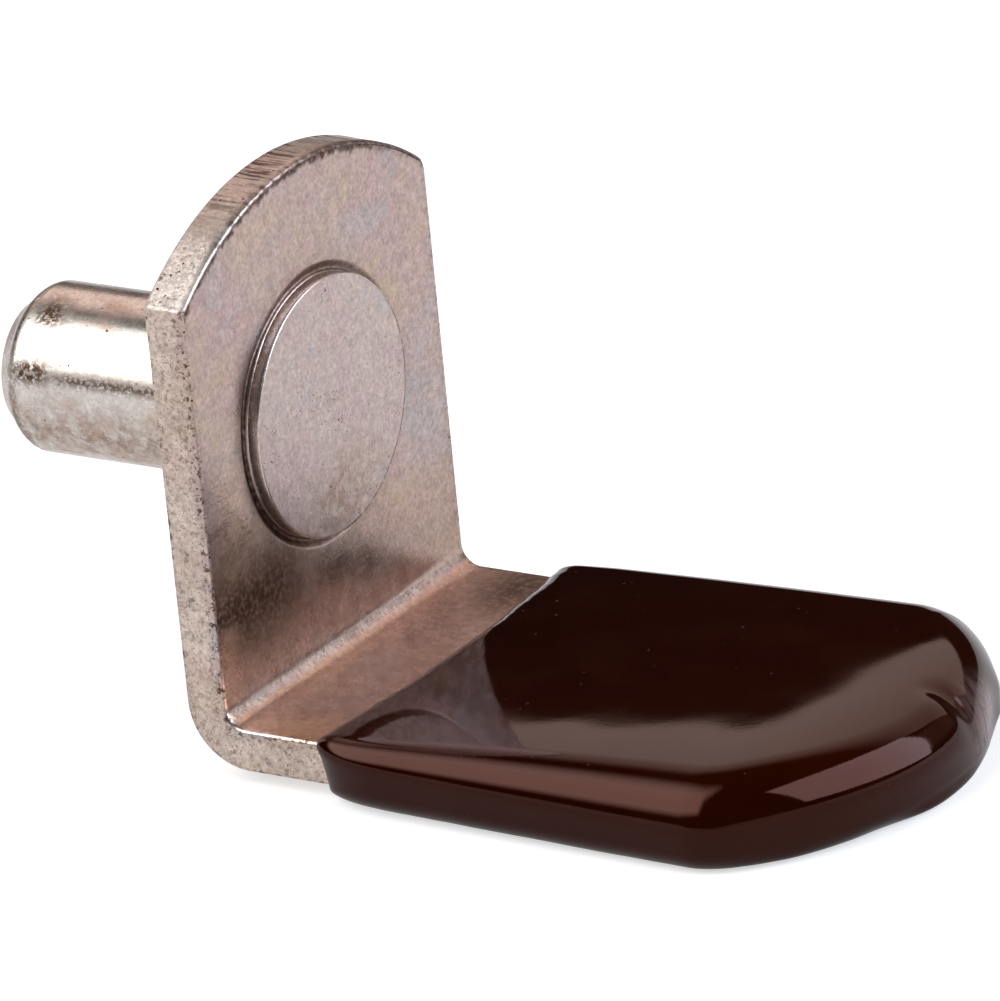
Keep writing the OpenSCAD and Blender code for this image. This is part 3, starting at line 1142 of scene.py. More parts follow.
        # Painted shade: the groove, darkest on its lower near side, and a ragged dark line under the burr.
        in_groove = smooth_step(0.0, 0.06, self.groove(radius, angle)) * (radius > self.head_radius)
        deepest_shade = bump(-1.75, 0.75, angle)
        along = self.arch_radius * np.arctan2(w, q - self.arch_q)
        reach = 0.36 + 0.07 * ripple(along, 15, 0.5) + 0.07 * ripple(along, 16, 1.6)
        shade_under_burr = smooth_step(reach, reach - 0.13, below_arch) * smooth_step(5.8, 3.0, w)
        dark = np.maximum(in_groove * (0.72 + 0.28 * deepest_shade), 0.95 * shade_under_burr)
        marks["grime"] = np.maximum(marks["grime"], dark)
        return marks

    def add_back(self, work: Patchwork, loop: Array) -> Array:
        """Adds the plate's flat back.

        Args:
            work: The patchwork.
            loop: Closed outline (q, w) of the face.

        Returns:
            The points round the hole.
        """
        steps = np.array([0.2, 0.4, 0.6, 0.8, 0.95, 1.0])
        rings = self.plate_rings(loop, np.array([self.hole_back]), steps)
        q, w = rings[..., 0], rings[..., 1]
        points = self.fold(q, w, np.full(q.shape, self.thickness))
        work.add(points, **self.face_marks(q, w, False))
        return points[0]

    def add_edge(
        self, work: Patchwork, outline: Array, facing: Array, on_arch: Array, side_q: Array
    ) -> None:
        """Adds the band round the strip's whole edge.

        Args:
            work: The patchwork.
            outline: Points (q, w) round the plate's free edge.
            facing: Their outward directions.
            on_arch: How far each lies on the sheared arch.
            side_q: Places along the arm's sides at which its faces have points.
        """
        flank = np.full(len(side_q), self.half_width)
        near = np.stack([side_q, -flank], -1)
        far = np.stack([side_q, flank], -1)[::-1]
        plain, sheared = self.edge_profile()
        loop = np.concatenate([near, outline, far])
        out = np.concatenate(
            [np.tile([0.0, -1.0], (len(near), 1)), facing, np.tile([0.0, 1.0], (len(far), 1))]
        )
        arch = np.concatenate([np.zeros(len(near)), on_arch, np.zeros(len(far))])
        profile = plain[:, None, :] + (sheared - plain)[:, None, :] * arch[None, :, None]
        along = np.concatenate([[0.0], np.cumsum(np.linalg.norm(np.diff(loop, axis=0), axis=1))])
        ragged = 1.0 + 0.75 * ripple(along, 5, 0.6) * smooth_step(-4.5, -1.5, loop[:, 1])
        depth = profile[..., 1] + np.minimum(profile[..., 1], 0.0) * (ragged[None, :] - 1.0)
        torn = 0.020 * ripple(along, 8, 0.4) * arch * smooth_step(-5.6, -3.6, loop[:, 1])
        offset = profile[..., 0].copy()
        offset[1:6] += torn[None, :]
        q = loop[None, :, 0] + out[None, :, 0] * offset
        w = loop[None, :, 1] + out[None, :, 1] * offset
        q[:, [0, -1]] = self.corner_q - offset[:, [0, -1]]
        work.add(self.fold(q, w, depth), **self.edge_marks(loop[:, 1], arch, along, len(plain)))
        self.add_arm_end(work, plain)

    @staticmethod
    def edge_marks(w: Array, arch: Array, along: Array, levels: int) -> dict[str, Array]:
        """Works out the tints of the band round the strip's edge.

        Args:
            w: Distance across, for each place round the edge.
            arch: How far each place lies on the sheared arch.
            along: Distance of each place round the edge.
            levels: Rows of the band from the inner face to the outer one.

        Returns:
            Painted shade at the burr's foot and over the burr beyond the crown, drawn lines past the
            crown and torn crystals on its near side, brighter sheared metal, edge walls lightened as
            painted light, and soiled rims.
        """
        level = np.linspace(0.0, 1.0, levels)[:, None]
        wall = smooth_step(0.30, 0.42, level) * smooth_step(0.98, 0.80, level)
        edge_line = smooth_step(0.42, 0.28, level) + smooth_step(0.66, 0.80, level)
        to_crown = smooth_step(-4.8, -1.0, w)
        # Painted shade at the burr's foot, over the burr beyond the crown and in broken patches on its
        # near side.
        broken = smooth_step(-0.1, 0.5, ripple(along, 21, 0.45)) * smooth_step(-5.6, -3.8, w)
        beyond = 0.85 * np.maximum(smooth_step(-2.2, 1.2, w), broken)
        # The flank mark lightens the edge walls as painted light.
        return {
            "shear": 0.85 * (arch * (1.0 - 0.5 * to_crown)) * (level > 0.2),
            "flank": (1.0 - arch) * wall,
            "grime": arch * np.maximum(0.95 * (level < 0.14), beyond * (level < 0.36)),
            "rim": np.clip(edge_line * 0.85 + 0.42, 0.0, 1.0) * (1.0 - 0.6 * arch),
            "striation": arch * wall * smooth_step(-4.6, -1.5, w),
            "crystal": arch * wall * smooth_step(-3.0, -5.6, w),
        }

    def add_arm_end(self, work: Patchwork, plain: Array) -> None:
        """Adds the band round the arm's arched end, between its two corners.

        Args:
            work: The patchwork.
            plain: Cross-section of the edge, as (outward offset, depth).
        """
        radius = self.arc_radius(self.arm_end_rise) + plain[:, :1]
        half = self.half_width + plain[:, :1]
        across = half * np.linspace(-1.0, 1.0, self.columns + 1)[None, :]
        bow = np.sqrt(radius**2 - across**2) - np.sqrt(radius**2 - half**2)
        q = self.corner_q - plain[:, :1] - bow
        work.add(self.fold(q, across, np.broadcast_to(plain[:, 1:], q.shape)))

    def build(self) -> bpy.types.Object:
        """Makes the piece, finishes it and ties it to the frame.

        Returns:
            The finished piece, which stands for its CAD node and rides on the body.
        """
        piece = self.mesh()
        piece.data.materials.append(self.finish.material())
        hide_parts("angle_bracket")
        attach(piece, BODY)
        return piece


# ---------------------------------------------------------------- the headed pin


@dataclass
class Pin:
    """The headed pin: a flat head, a shank swelled in the plate, a straight wall and a nose."""

    radius: float = 2.5
    length: float = 8.5
    plate: float = 1.3
    head_radius: float = 3.825
    head_height: float = 0.38
    head_round: float = 0.055
    face_dome: float = 0.012
    face_waves: float = 0.006
    head_inset: float = 0.012
    head_wobble: tuple[float, float] = (0.010, 0.006)
    swelled_front: float = 2.7
    swelled_back: float = 2.75
    wall_end: float = 7.9
    bevel_radius: float = 2.15
    bevel_end: float = 8.12
    bevel_lead: float = 0.35
    bevel_power: float = 2.6
    nose_radius: float = 1.92
    around: int = 288
    wall_steps: int = 40
    bevel_steps: int = 15
    finish: BrightNickel = field(default_factory=BrightNickel)

    @staticmethod
    def stretch(
        x: Array | float, radius: Array | float, head: Array | float, soot: Array | float
    ) -> Array:
        """Sets values side by side as points of the outline, spread to one length."""
        return np.stack(np.broadcast_arrays(x, radius, head, soot), -1)

    def profile(self) -> Array:
        """Outline of the pin from its head's centre to its nose's centre.

        Returns:
            Points (x, radius, head mark, darkening mark). Corners are quarter rounds, the bevel is a
            smooth curve from the wall down to the nose, and the nose is a slow taper.
        """
        top = self.plate + self.head_height
        rim = self.head_round
        turn = np.linspace(0.0, QUARTER, 6)
        face_r = np.linspace(0.0, self.head_radius - 0.12, 20)
        face_r = np.append(face_r, self.head_radius - rim - 0.02)
        dome = -self.face_dome * (face_r / self.head_radius) ** 4
        corner_x = top + dome[-1] - rim + rim * np.cos(turn)
        corner_r = self.head_radius - rim + rim * np.sin(turn)
        skirt_x = self.plate + np.array([0.72, 0.45, 0.2, 0.06, 0.0]) * (self.head_height - rim)
        # Painted shade on the head's wall, darker towards the groove.
        skirt_shade = np.array([0.2, 0.3, 0.5, 0.7, 0.8])
        shank = [
            (self.plate, self.swelled_front, 0.0, 0.0),
            (0.0, self.swelled_back, 0.0, 0.0),
            (0.0, self.radius + 0.02, 0.0, 0.6),
            (-0.02, self.radius, 0.0, 0.6),
        ]
        bevel_start = -self.wall_end + self.bevel_lead
        wall_x = np.linspace(-0.1, bevel_start, self.wall_steps)
        share = np.linspace(0.0, 1.0, self.bevel_steps + 1)[1:]
        bevel_x = bevel_start - share * (self.bevel_end - self.wall_end + self.bevel_lead)
        bevel_r = self.radius - (self.radius - self.bevel_radius) * share**self.bevel_power
        nose = [
            (-self.bevel_end - 0.03, self.bevel_radius - 0.03, 0.3, 0.1),
            (-self.length + 0.06, self.nose_radius + 0.02, 0.5, 0.0),
            (-self.length + 0.02, self.nose_radius - 0.01, 0.6, 0.0),
            (-self.length, self.nose_radius - 0.06, 0.6, 0.0),
            (-self.length, self.nose_radius - 0.2, 0.6, 0.0),
        ]
        return np.concatenate(
            [
                self.stretch(top + dome, face_r, 1.0, 0.0),
                self.stretch(corner_x, corner_r, np.linspace(1.0, 0.2, len(turn)), 0.0),
                self.stretch(skirt_x, self.head_radius, 0.0, skirt_shade),
                shank,
                self.stretch(wall_x, self.radius, 0.0, 0.10),
                self.stretch(bevel_x, bevel_r, 0.0, 0.10 + 0.5 * bump(0.35, 0.4, share)),
                nose,
                self.stretch(-self.length, np.linspace(self.nose_radius - 0.5, 0.0, 8), 0.6, 0.0),
            ]
        )

    def marks(self, outline: Array, turn: Array) -> dict[str, Array]:
        """Works out where the pin is darkened and tinted, mostly as painted shade and reflection.

        Args:
            outline: Points (x, radius, head mark, darkening mark).
            turn: Angles about the axis, from the top towards +Y.

        Returns:
            Darkening at the bevel, painted shade on the head's wall towards the groove, dark painted
            reflections in two blotches and a line on the near side of the shank, painted shade round the
            head's lower far edge, specks that crowd in that line, brown at the foot of the head's face,
            painted shade low on the shank and a painted warm reflection high on it.
        """
        x = outline[:, :1]
        height = np.cos(turn)[None, :]
        near = smooth_step(0.2, -0.4, np.sin(turn))[None, :]
        shank = smooth_step(0.1, -0.1, x)
        # Painted reflection: mottled dark blotches and a line where the shank mirrors the dark gaps
        # between the lights.
        blotch = bump(-6.95, 0.60, x) * bump(0.86, 0.10, height)
        blotch = np.maximum(blotch, bump(-7.1, 0.85, x) * bump(0.31, 0.14, height))
        line = bump(0.285, 0.080, height) * smooth_step(-7.0, -5.8, x)
        soot = np.maximum(outline[:, 3:4], 1.3 * blotch * near * shank)
        soot = np.maximum(soot, 0.95 * line * near * shank)
        # Painted shade: a dark line round the head's lower far edge.
        on_edge = smooth_step(self.head_radius - 0.10, self.head_radius - 0.03, outline[:, 1:2])
        on_edge = on_edge * (x > self.plate + 0.15)
        lower_far = smooth_step(0.2, 0.8, np.sin(turn) - 0.6 * np.cos(turn))[None, :]
        soot = np.maximum(soot, 1.2 * on_edge * lower_far)
        # Specks crowd in the painted dark lines along the shank.
        speck = shank * near * np.maximum(line, 0.45 * bump(-0.05, 0.35, height))
        speck = np.maximum(speck, 0.6 * shank * near * bump(0.80, 0.05, height))
        # Brown low on the head's face, painted shade low on the shank and a painted warm reflection high
        # on it.
        low = outline[:, 1:2] * height
        aside = outline[:, 1:2] * np.sin(turn)[None, :]
        stain = outline[:, 2:3] * bump(-2.7, 1.1, low) * bump(0.2, 2.0, aside) * (x > 0.0)
        stain = np.maximum(stain, 0.85 * shank * near * bump(-0.45, 0.42, height))
        above = bump(0.27, 0.17, np.sin(turn)[None, :]) * smooth_step(0.0, 0.5, height)
        stain = np.maximum(stain, 0.2 * shank * above)
        return {"soot": np.clip(soot, 0.0, 1.0), "speck": speck, "stain": stain}

    def mesh(self) -> bpy.types.Object:
        """Turns the outline about the X axis.

        Returns:
            One closed mesh, whose head is drawn in a little and out of round by under 0.02 mm.
        """
        outline = self.profile()
        turn = np.linspace(0.0, 2.0 * math.pi, self.around + 1)
        turn[-1] = 0.0
        x = outline[:, :1]
        radius = np.repeat(outline[:, 1:2], len(turn), axis=1)
        on_head = (x > self.plate - 0.001) & (outline[:, 1:2] > self.head_radius * 0.5)
        slow, quick = self.head_wobble
        wobble = slow * np.sin(3.0 * turn + 0.7) + quick * np.sin(7.0 * turn + 2.0)
        uneven = self.head_inset + wobble[None, :]
        radius = radius - on_head * uneven * (radius / self.head_radius) ** 6
        tall = np.broadcast_to(x, radius.shape)
        flat = outline[:, 2:3] * smooth_step(0.0, 0.1, tall - self.plate - self.head_height + 0.1)
        across, up = radius * np.sin(turn), radius * np.cos(turn)
        tall = tall - self.face_waves * flat * (1.0 + waves(up, across, 3, 5.0))
        work = Patchwork()
        work.add(np.stack([tall, across, up], -1), head=outline[:, 2:3], **self.marks(outline, turn))
        return work.build("nickel_pin")

    def build(self) -> bpy.types.Object:
        """Makes the piece, finishes it and ties it to the frame.

        Returns:
            The finished piece, which stands for its CAD node and rides on the body.
        """
        piece = self.mesh()
        piece.data.materials.append(self.finish.material())
        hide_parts("pin")
        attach(piece, BODY)
        return piece


# ---------------------------------------------------------------- the vinyl skin


@dataclass
class VinylSkin:
    """The skin that dipping leaves on the arm: thin at its lip, thick and round at its tip.

    A station of its outline is a point in plan with the direction that the edge faces there. Each
    station carries one row of the surface: from the middle of the top out to the edge, round the
    edge and back to the middle underneath.
    """

    half_width: float = 6.35
    arm_top: float = -7.4
    arm_under: float = -8.7
    arm_reach: float = 20.3
    arm_end_rise: float = 3.2
    start: float = 4.3
    tip: float = 21.3
    top: tuple[float, float] = (0.42, 1.10)
    under: tuple[float, float] = (0.28, 0.37)
    side: tuple[float, float] = (0.74, 1.00)
    end: float = 1.0
    roll_over: tuple[float, float] = (0.50, 1.62)
    roll_end: float = 1.10
    roll_under: float = 0.65
    near_corner: float = 2.2
    far_corner: float = 2.6
    lip_length: float = 0.85
    roll_length: float = 1.9
    lip_length_under: float = 2.8
    lip_thickness: float = 0.035
    lip_offset: float = 0.12
    lip_bow: float = 0.50
    lip_low: float = 0.30
    lip_waver: float = 0.035
    lip_power: float = 2.4
    crown: float = 0.155
    crown_lift: float = 0.075
    end_fall: float = 0.0052
    end_fall_from: float = 16.4
    spine_end: float = 13.0
    end_lip: float = 0.195
    waist: float = 0.05
    corner_lip: float = 0.07
    nub: float = 0.085
    nub_hollow: float = 0.085
    top_waves: float = 0.006
    under_waves: float = 0.008
    run_height: float = 0.055
    start_steps: int = 34
    side_steps: tuple[int, int] = (48, 26)
    corner_steps: int = 34
    end_steps: int = 64
    wall_steps: int = 6
    roll_steps: int = 22
    columns: int = 56
    finish: GlossVinyl = field(default_factory=GlossVinyl)

    @property
    def end_arc(self) -> float:
        """Radius of the arm's end arc."""
        return (self.half_width**2 + self.arm_end_rise**2) / (2.0 * self.arm_end_rise)

    @property
    def end_centre(self) -> float:
        """Place along X of the centre of the arm's end arc."""
        return self.arm_reach - self.end_arc

    def thickened(self, x: Array) -> Array:
        """Share by which the skin has thickened: the sine of a quarter turn over its length."""
        return np.sin(QUARTER * np.clip((x - self.start) / (self.tip - self.start), 0.0, 1.0))

    def between(self, ends: tuple[float, float], x: Array) -> Array:
        """Value between the one where the skin starts and the one at its tip."""
        return ends[0] + (ends[1] - ends[0]) * self.thickened(x)

    def opened(self, x: Array, length: float) -> Array:
        """How far the lip has opened over a length: a quarter of a squarish oval, from 0 to 1."""
        share = np.clip((x - self.start) / length, 0.0, 1.0)
        return (1.0 - (1.0 - share) ** self.lip_power) ** (1.0 / self.lip_power)

    def lip_shift(self, y: Array, z: Array) -> Array:
        """How far the lip lies beyond the skin's nominal start.

        Args:
            y: Distance across.
            z: Height.

        Returns:
            A shift that is largest in the middle of the arm's top and low down on its sides, with
            the slight waver of a dipped edge.
        """
        across = np.clip(np.abs(y) / self.half_width, 0.0, 1.0)
        down = np.clip((self.arm_top - z) / (self.arm_top - self.arm_under), 0.0, 1.0)
        bow = self.lip_bow * (1.0 - across**2.4)
        low = self.lip_low * down**0.7 * smooth_step(0.9, 1.0, across)
        return self.lip_offset + bow + low + self.lip_waver * ripple(y, 9, 4.0)

    def outline(self, side: float) -> tuple[Array, Array]:
        """Walks along one side of the skin's outline, from its start to the tip.

        Args:
            side: 1 for +Y and -1 for -Y.

        Returns:
            Points (x, y) and the directions that the edge faces. The side thickens along the arm,
            a corner arc joins it to the end arc, and the end arc ends on the axis.
        """
        corner = self.far_corner if side > 0.0 else self.near_corner
        corner_y = self.half_width + self.side[1] - corner
        end_r = self.end_arc + self.end
        corner_x = self.end_centre + math.sqrt((end_r - corner) ** 2 - corner_y**2)
        meet = math.atan2(corner_y, corner_x - self.end_centre)
        lip_steps = np.linspace(0.0, 1.0, self.start_steps)
        lip = self.start + self.lip_length_under * 1.1 * lip_steps**2
        to_spine = np.linspace(lip[-1], self.spine_end, self.side_steps[0])[1:]
        to_corner = np.linspace(self.spine_end, corner_x, self.side_steps[1])[1:]
        run = np.concatenate([lip, to_spine, to_corner])
        grown = self.thickened(run) / self.thickened(np.array(corner_x))
        thick = self.side[0] + (self.side[1] - self.side[0]) * grown
        opened = self.opened(run, self.lip_length_under)
        wide = self.lip_thickness + (thick - self.lip_thickness) * opened
        turn = np.linspace(QUARTER, meet, self.corner_steps)[1:]
        sweep = np.linspace(meet, 0.0, self.end_steps)[1:]
        x = np.concatenate(
            [run, corner_x + corner * np.cos(turn), self.end_centre + end_r * np.cos(sweep)]
        )
        y = np.concatenate(
            [self.half_width + wide, corner_y + corner * np.sin(turn), end_r * np.sin(sweep)]
        )
        facing = np.concatenate([np.full(len(run), QUARTER), turn, sweep])
        return np.stack([x, side * y], -1), side * facing

    def drips(self, facing: Array, tilt: Array) -> Array:
        """How far the edge stands out where the last of the dip gathered and hung.

        Args:
            facing: Direction that the edge faces, in radians from +X towards +Y.
            tilt: Tilt of the surface from straight up, in radians.

        Returns:
            The offset in millimetres: a lip along the lower edge of the end, a smaller one at the
            near corner, and a nub where the last drop came off, with a hollow beside it.
        """
        angle = np.degrees(facing)
        low = smooth_step(1.75, 2.60, tilt)
        end_lip = self.end_lip * (bump(3.0, 11.0, angle) + 0.75 * bump(-8.0, 7.0, angle))
        waist = -self.waist * bump(-20.0, 6.0, angle)
        corner_lip = self.corner_lip * bump(-40.0, 9.0, angle)
        nub = self.nub * bump(30.5, 4.2, angle) * bump(1.60, 0.34, tilt)
        hollow = -self.nub_hollow * bump(21.5, 5.5, angle) * bump(1.62, 0.55, tilt)
        return (end_lip + waist + corner_lip) * low + nub + hollow

    def top_height(self, x: Array, y: Array) -> Array:
        """Height of the skin's top over a point of the arm.

        Args:
            x: Distance along the arm.
            y: Distance across.

        Returns:
            The arm's top plus a skin that thickens towards the tip, stands highest in the middle
            and falls off near the end, with shallow waves, and a low run beside a notch at the
            tip.
        """
        across = np.abs(y) / self.half_width
        beyond = np.clip(x - self.end_fall_from, 0.0, 6.0)
        form = self.crown_lift - self.crown * across**3 - self.end_fall * beyond**3
        form = form + self.top_waves * waves(x, y, 21, 9.0, 4)
        runs = 0.3 * bump(0.1, 0.5, y) - 2.7 * bump(1.15, 0.40, y)
        at_tip = smooth_step(19.4, 20.9, x)
        thick = self.between(self.top, x) + form + self.run_height * runs * at_tip
        opened = self.opened(x, self.lip_length)
        return self.arm_top + self.lip_thickness + (thick - self.lip_thickness) * opened

    def under_height(self, x: Array, y: Array) -> Array:
        """Height of the skin's underside under a point of the arm.

        Args:
            x: Distance along the arm.
            y: Distance across.

        Returns:
            The arm's underside less a skin that thickens more slowly from the lip.
        """
        thick = self.between(self.under, x) - self.under_waves * (1.4 + waves(x, y, 22, 6.0))
        opened = self.opened(x, self.lip_length_under)
        return self.arm_under - self.lip_thickness - (thick - self.lip_thickness) * opened

    def scuff(self, points: Array) -> Array:
        """How far the nub at the tip carries a pale painted reflection.

        Args:
            points: Points of the surface.

        Returns:
            A share from 0 to 1 for each point.
        """
        x, y, z = points[..., 0], points[..., 1], points[..., 2]
        angle = np.degrees(np.arctan2(y, x - self.end_centre))
        return bump(17.5, 7.5, angle) * smooth_step(19.8, 20.5, x) * bump(-8.0, 0.9, z)

    def rows(self, side: float) -> Array:
        """Lays the surface's rows along one side of the outline.

        Args:
            side: 1 for +Y and -1 for -Y.

        Returns:
            Points of shape (stations, places, 3). Round the edge, the surface turns through a
            quarter circle of the upper roll and one of the lower roll, and what height is left
            between them is an upright wall.
        """
        points, facing = self.outline(side)
        x0, y0 = points[:, :1], points[:, 1:]
        along, across = np.cos(facing)[:, None], np.sin(facing)[:, None]
        opened = self.opened(x0, self.roll_length)
        round_end = smooth_step(0.0, 1.2, np.abs(facing))[:, None]
        full = self.roll_end + (self.between(self.roll_over, x0) - self.roll_end) * round_end
        over = self.lip_thickness + (full - self.lip_thickness) * opened
        sides_open = self.opened(x0, self.lip_length_under)
        below = self.lip_thickness + (self.roll_under - self.lip_thickness) * sides_open
        upper = np.linspace(0.0, QUARTER, self.roll_steps + 1)[None, :]
        lower = np.linspace(QUARTER, math.pi, self.roll_steps - 3)[None, :]
        tilt = np.concatenate([upper, lower], axis=1)
        radius = np.repeat(np.concatenate([over, below], axis=1), (upper.size, lower.size), axis=1)
        inset = radius * (1.0 - np.sin(tilt)) - self.drips(facing[:, None], tilt) * opened
        edge_x, edge_y = x0 - inset * along, y0 - inset * across
        high = self.top_height(edge_x, edge_y) - radius * (1.0 - np.cos(tilt))
        low = self.under_height(edge_x, edge_y) + radius * (1.0 + np.cos(tilt))
        edge_z = np.where(np.arange(tilt.size) < upper.size, high, low)
        share = np.linspace(0.0, 1.0, self.columns + 1)[None, :-1]
        spine = np.minimum(x0, self.spine_end)
        cap_x, cap_y = spine + (edge_x[:, :1] - spine) * share, edge_y[:, :1] * share
        share = share[:, ::-1]
        sole_x, sole_y = spine + (edge_x[:, -1:] - spine) * share, edge_y[:, -1:] * share
        axes = (
            (cap_x, edge_x, sole_x),
            (cap_y, edge_y, sole_y),
            (self.top_height(cap_x, cap_y), edge_z, self.under_height(sole_x, sole_y)),
        )
        steps = np.linspace(0.0, 1.0, self.wall_steps)[None, 1:-1]
        parts = []
        for cap, edge, sole in axes:
            over_edge, under_edge = edge[:, : upper.size], edge[:, upper.size :]
            head, foot = over_edge[:, -1:], under_edge[:, :1]
            wall = head + (foot - head) * steps
            parts.append(np.concatenate([cap, over_edge, wall, under_edge, sole], axis=1))
        x, y, z = parts
        x = x + self.lip_shift(y[:1], z[:1]) * bump(self.start, 1.5, x)
        return np.stack([x, y, z], -1)

    def add_cavity(self, work: Patchwork, rim: Array) -> None:
        """Adds half of the lip's face and of the cavity that the steel arm fills.

        Args:
            work: The patchwork.
            rim: The outer surface's first row, from the middle of the top to the middle of the
                underside.
        """
        inner = rim.copy()
        inner[:, 1] = np.clip(rim[:, 1], -self.half_width, self.half_width)
        inner[:, 2] = np.clip(rim[:, 2], self.arm_under, self.arm_top)
        work.add(np.stack([rim, inner]))
        steps = np.linspace(0.0, 1.0, 8)[:, None]
        end_x = self.end_centre + np.sqrt(self.end_arc**2 - inner[:, 1] ** 2)
        wall = np.repeat(inner[None], len(steps), axis=0)
        wall[..., 0] = inner[None, :, 0] + (end_x - inner[:, 0])[None, :] * steps
        work.add(wall)
        upper = wall[-1][: self.columns + 1]
        lower = wall[-1][-self.columns - 1 :][::-1]
        edge = wall[-1][self.columns : -self.columns]
        levels = np.linspace(0.0, 1.0, len(edge))[:, None, None]
        face = upper[None] * (1.0 - levels) + lower[None] * levels
        face[:, -1] = edge
        work.add(face)

    def mesh(self) -> bpy.types.Object:
        """Builds the skin.

        Returns:
            One closed mesh: the outer surface of both sides, the lip's face and the arm's cavity.
        """
        work = Patchwork()
        for side in (-1.0, 1.0):
            rows = self.rows(side)
            work.add(rows, scuff=self.scuff(rows))
            self.add_cavity(work, rows[0])
        return work.build("vinyl_skin", 0.001)

    def build(self) -> bpy.types.Object:
        """Makes the piece, finishes it and ties it to the frame.

        Returns:
            The finished piece, which stands for its CAD node and rides on the body.
        """
        piece = self.mesh()
        piece.data.materials.append(self.finish.material())
        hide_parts("vinyl_coating")
        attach(piece, BODY)
        return piece


# ---------------------------------------------------------------- studio


@dataclass(frozen=True)
class Softbox:
    """A rectangular soft light that faces the object and may fade towards its edges."""

    name: str
    toward: tuple[float, float, float]
    across: tuple[float, float, float]
    distance: float
    width: float
    height: float
    radiance: float
    colour: tuple[float, float, float] = (1.0, 1.0, 1.0)
    fade_sides: float = 0.0
    fade_low: float = 0.0
    fade_high: float = 0.0

    def build(self) -> bpy.types.Object:
        """Makes the light.

        Returns:
            An area light at a distance in the given direction, that shines at the origin, whose
            width runs as near as it can along the direction across, and that the camera doesn't
            see. Its power is pi times its radiance times its area.
        """
        lamp = bpy.data.lights.new(self.name, "AREA")
        lamp.shape = "RECTANGLE"
        lamp.size, lamp.size_y = self.width, self.height
        lamp.energy = self.radiance * math.pi * self.width * self.height
        lamp.color = self.colour
        if max(self.fade_sides, self.fade_low, self.fade_high) > 0.0:
            self.fade(lamp)
        holder = add_object(self.name, lamp)
        away = Vector(self.toward).normalized()
        wide = Vector(self.across)
        wide = (wide - away * wide.dot(away)).normalized()
        axes = Matrix((wide, away.cross(wide), away)).transposed().to_4x4()
        holder.matrix_world = Matrix.Translation(away * self.distance) @ axes
        holder.visible_camera = False
        return holder

    def fade(self, lamp: bpy.types.AreaLight) -> None:
        """Fades the light over a share of its width and height, as a softbox's cloth does.

        Args:
            lamp: The light.
        """
        lamp.use_nodes = True
        nodes = Nodes(lamp.node_tree)
        parts = nodes.node("ShaderNodeSeparateXYZ")
        nodes.link(nodes.node("ShaderNodeNewGeometry").outputs["Parametric"], parts.inputs[0])
        edges = (
            ("X", 0.0, self.fade_sides),
            ("X", 1.0, 1.0 - self.fade_sides),
            ("Y", 0.0, self.fade_low),
            ("Y", 1.0, 1.0 - self.fade_high),
        )
        eased = [nodes.ramp(parts.outputs[axis], start, end) for axis, start, end in edges if start != end]
        level = eased[0]
        for edge in eased[1:]:
            level = nodes.maths("MULTIPLY", level, edge)
        nodes.link(level, lamp.node_tree.nodes["Emission"].inputs["Strength"])


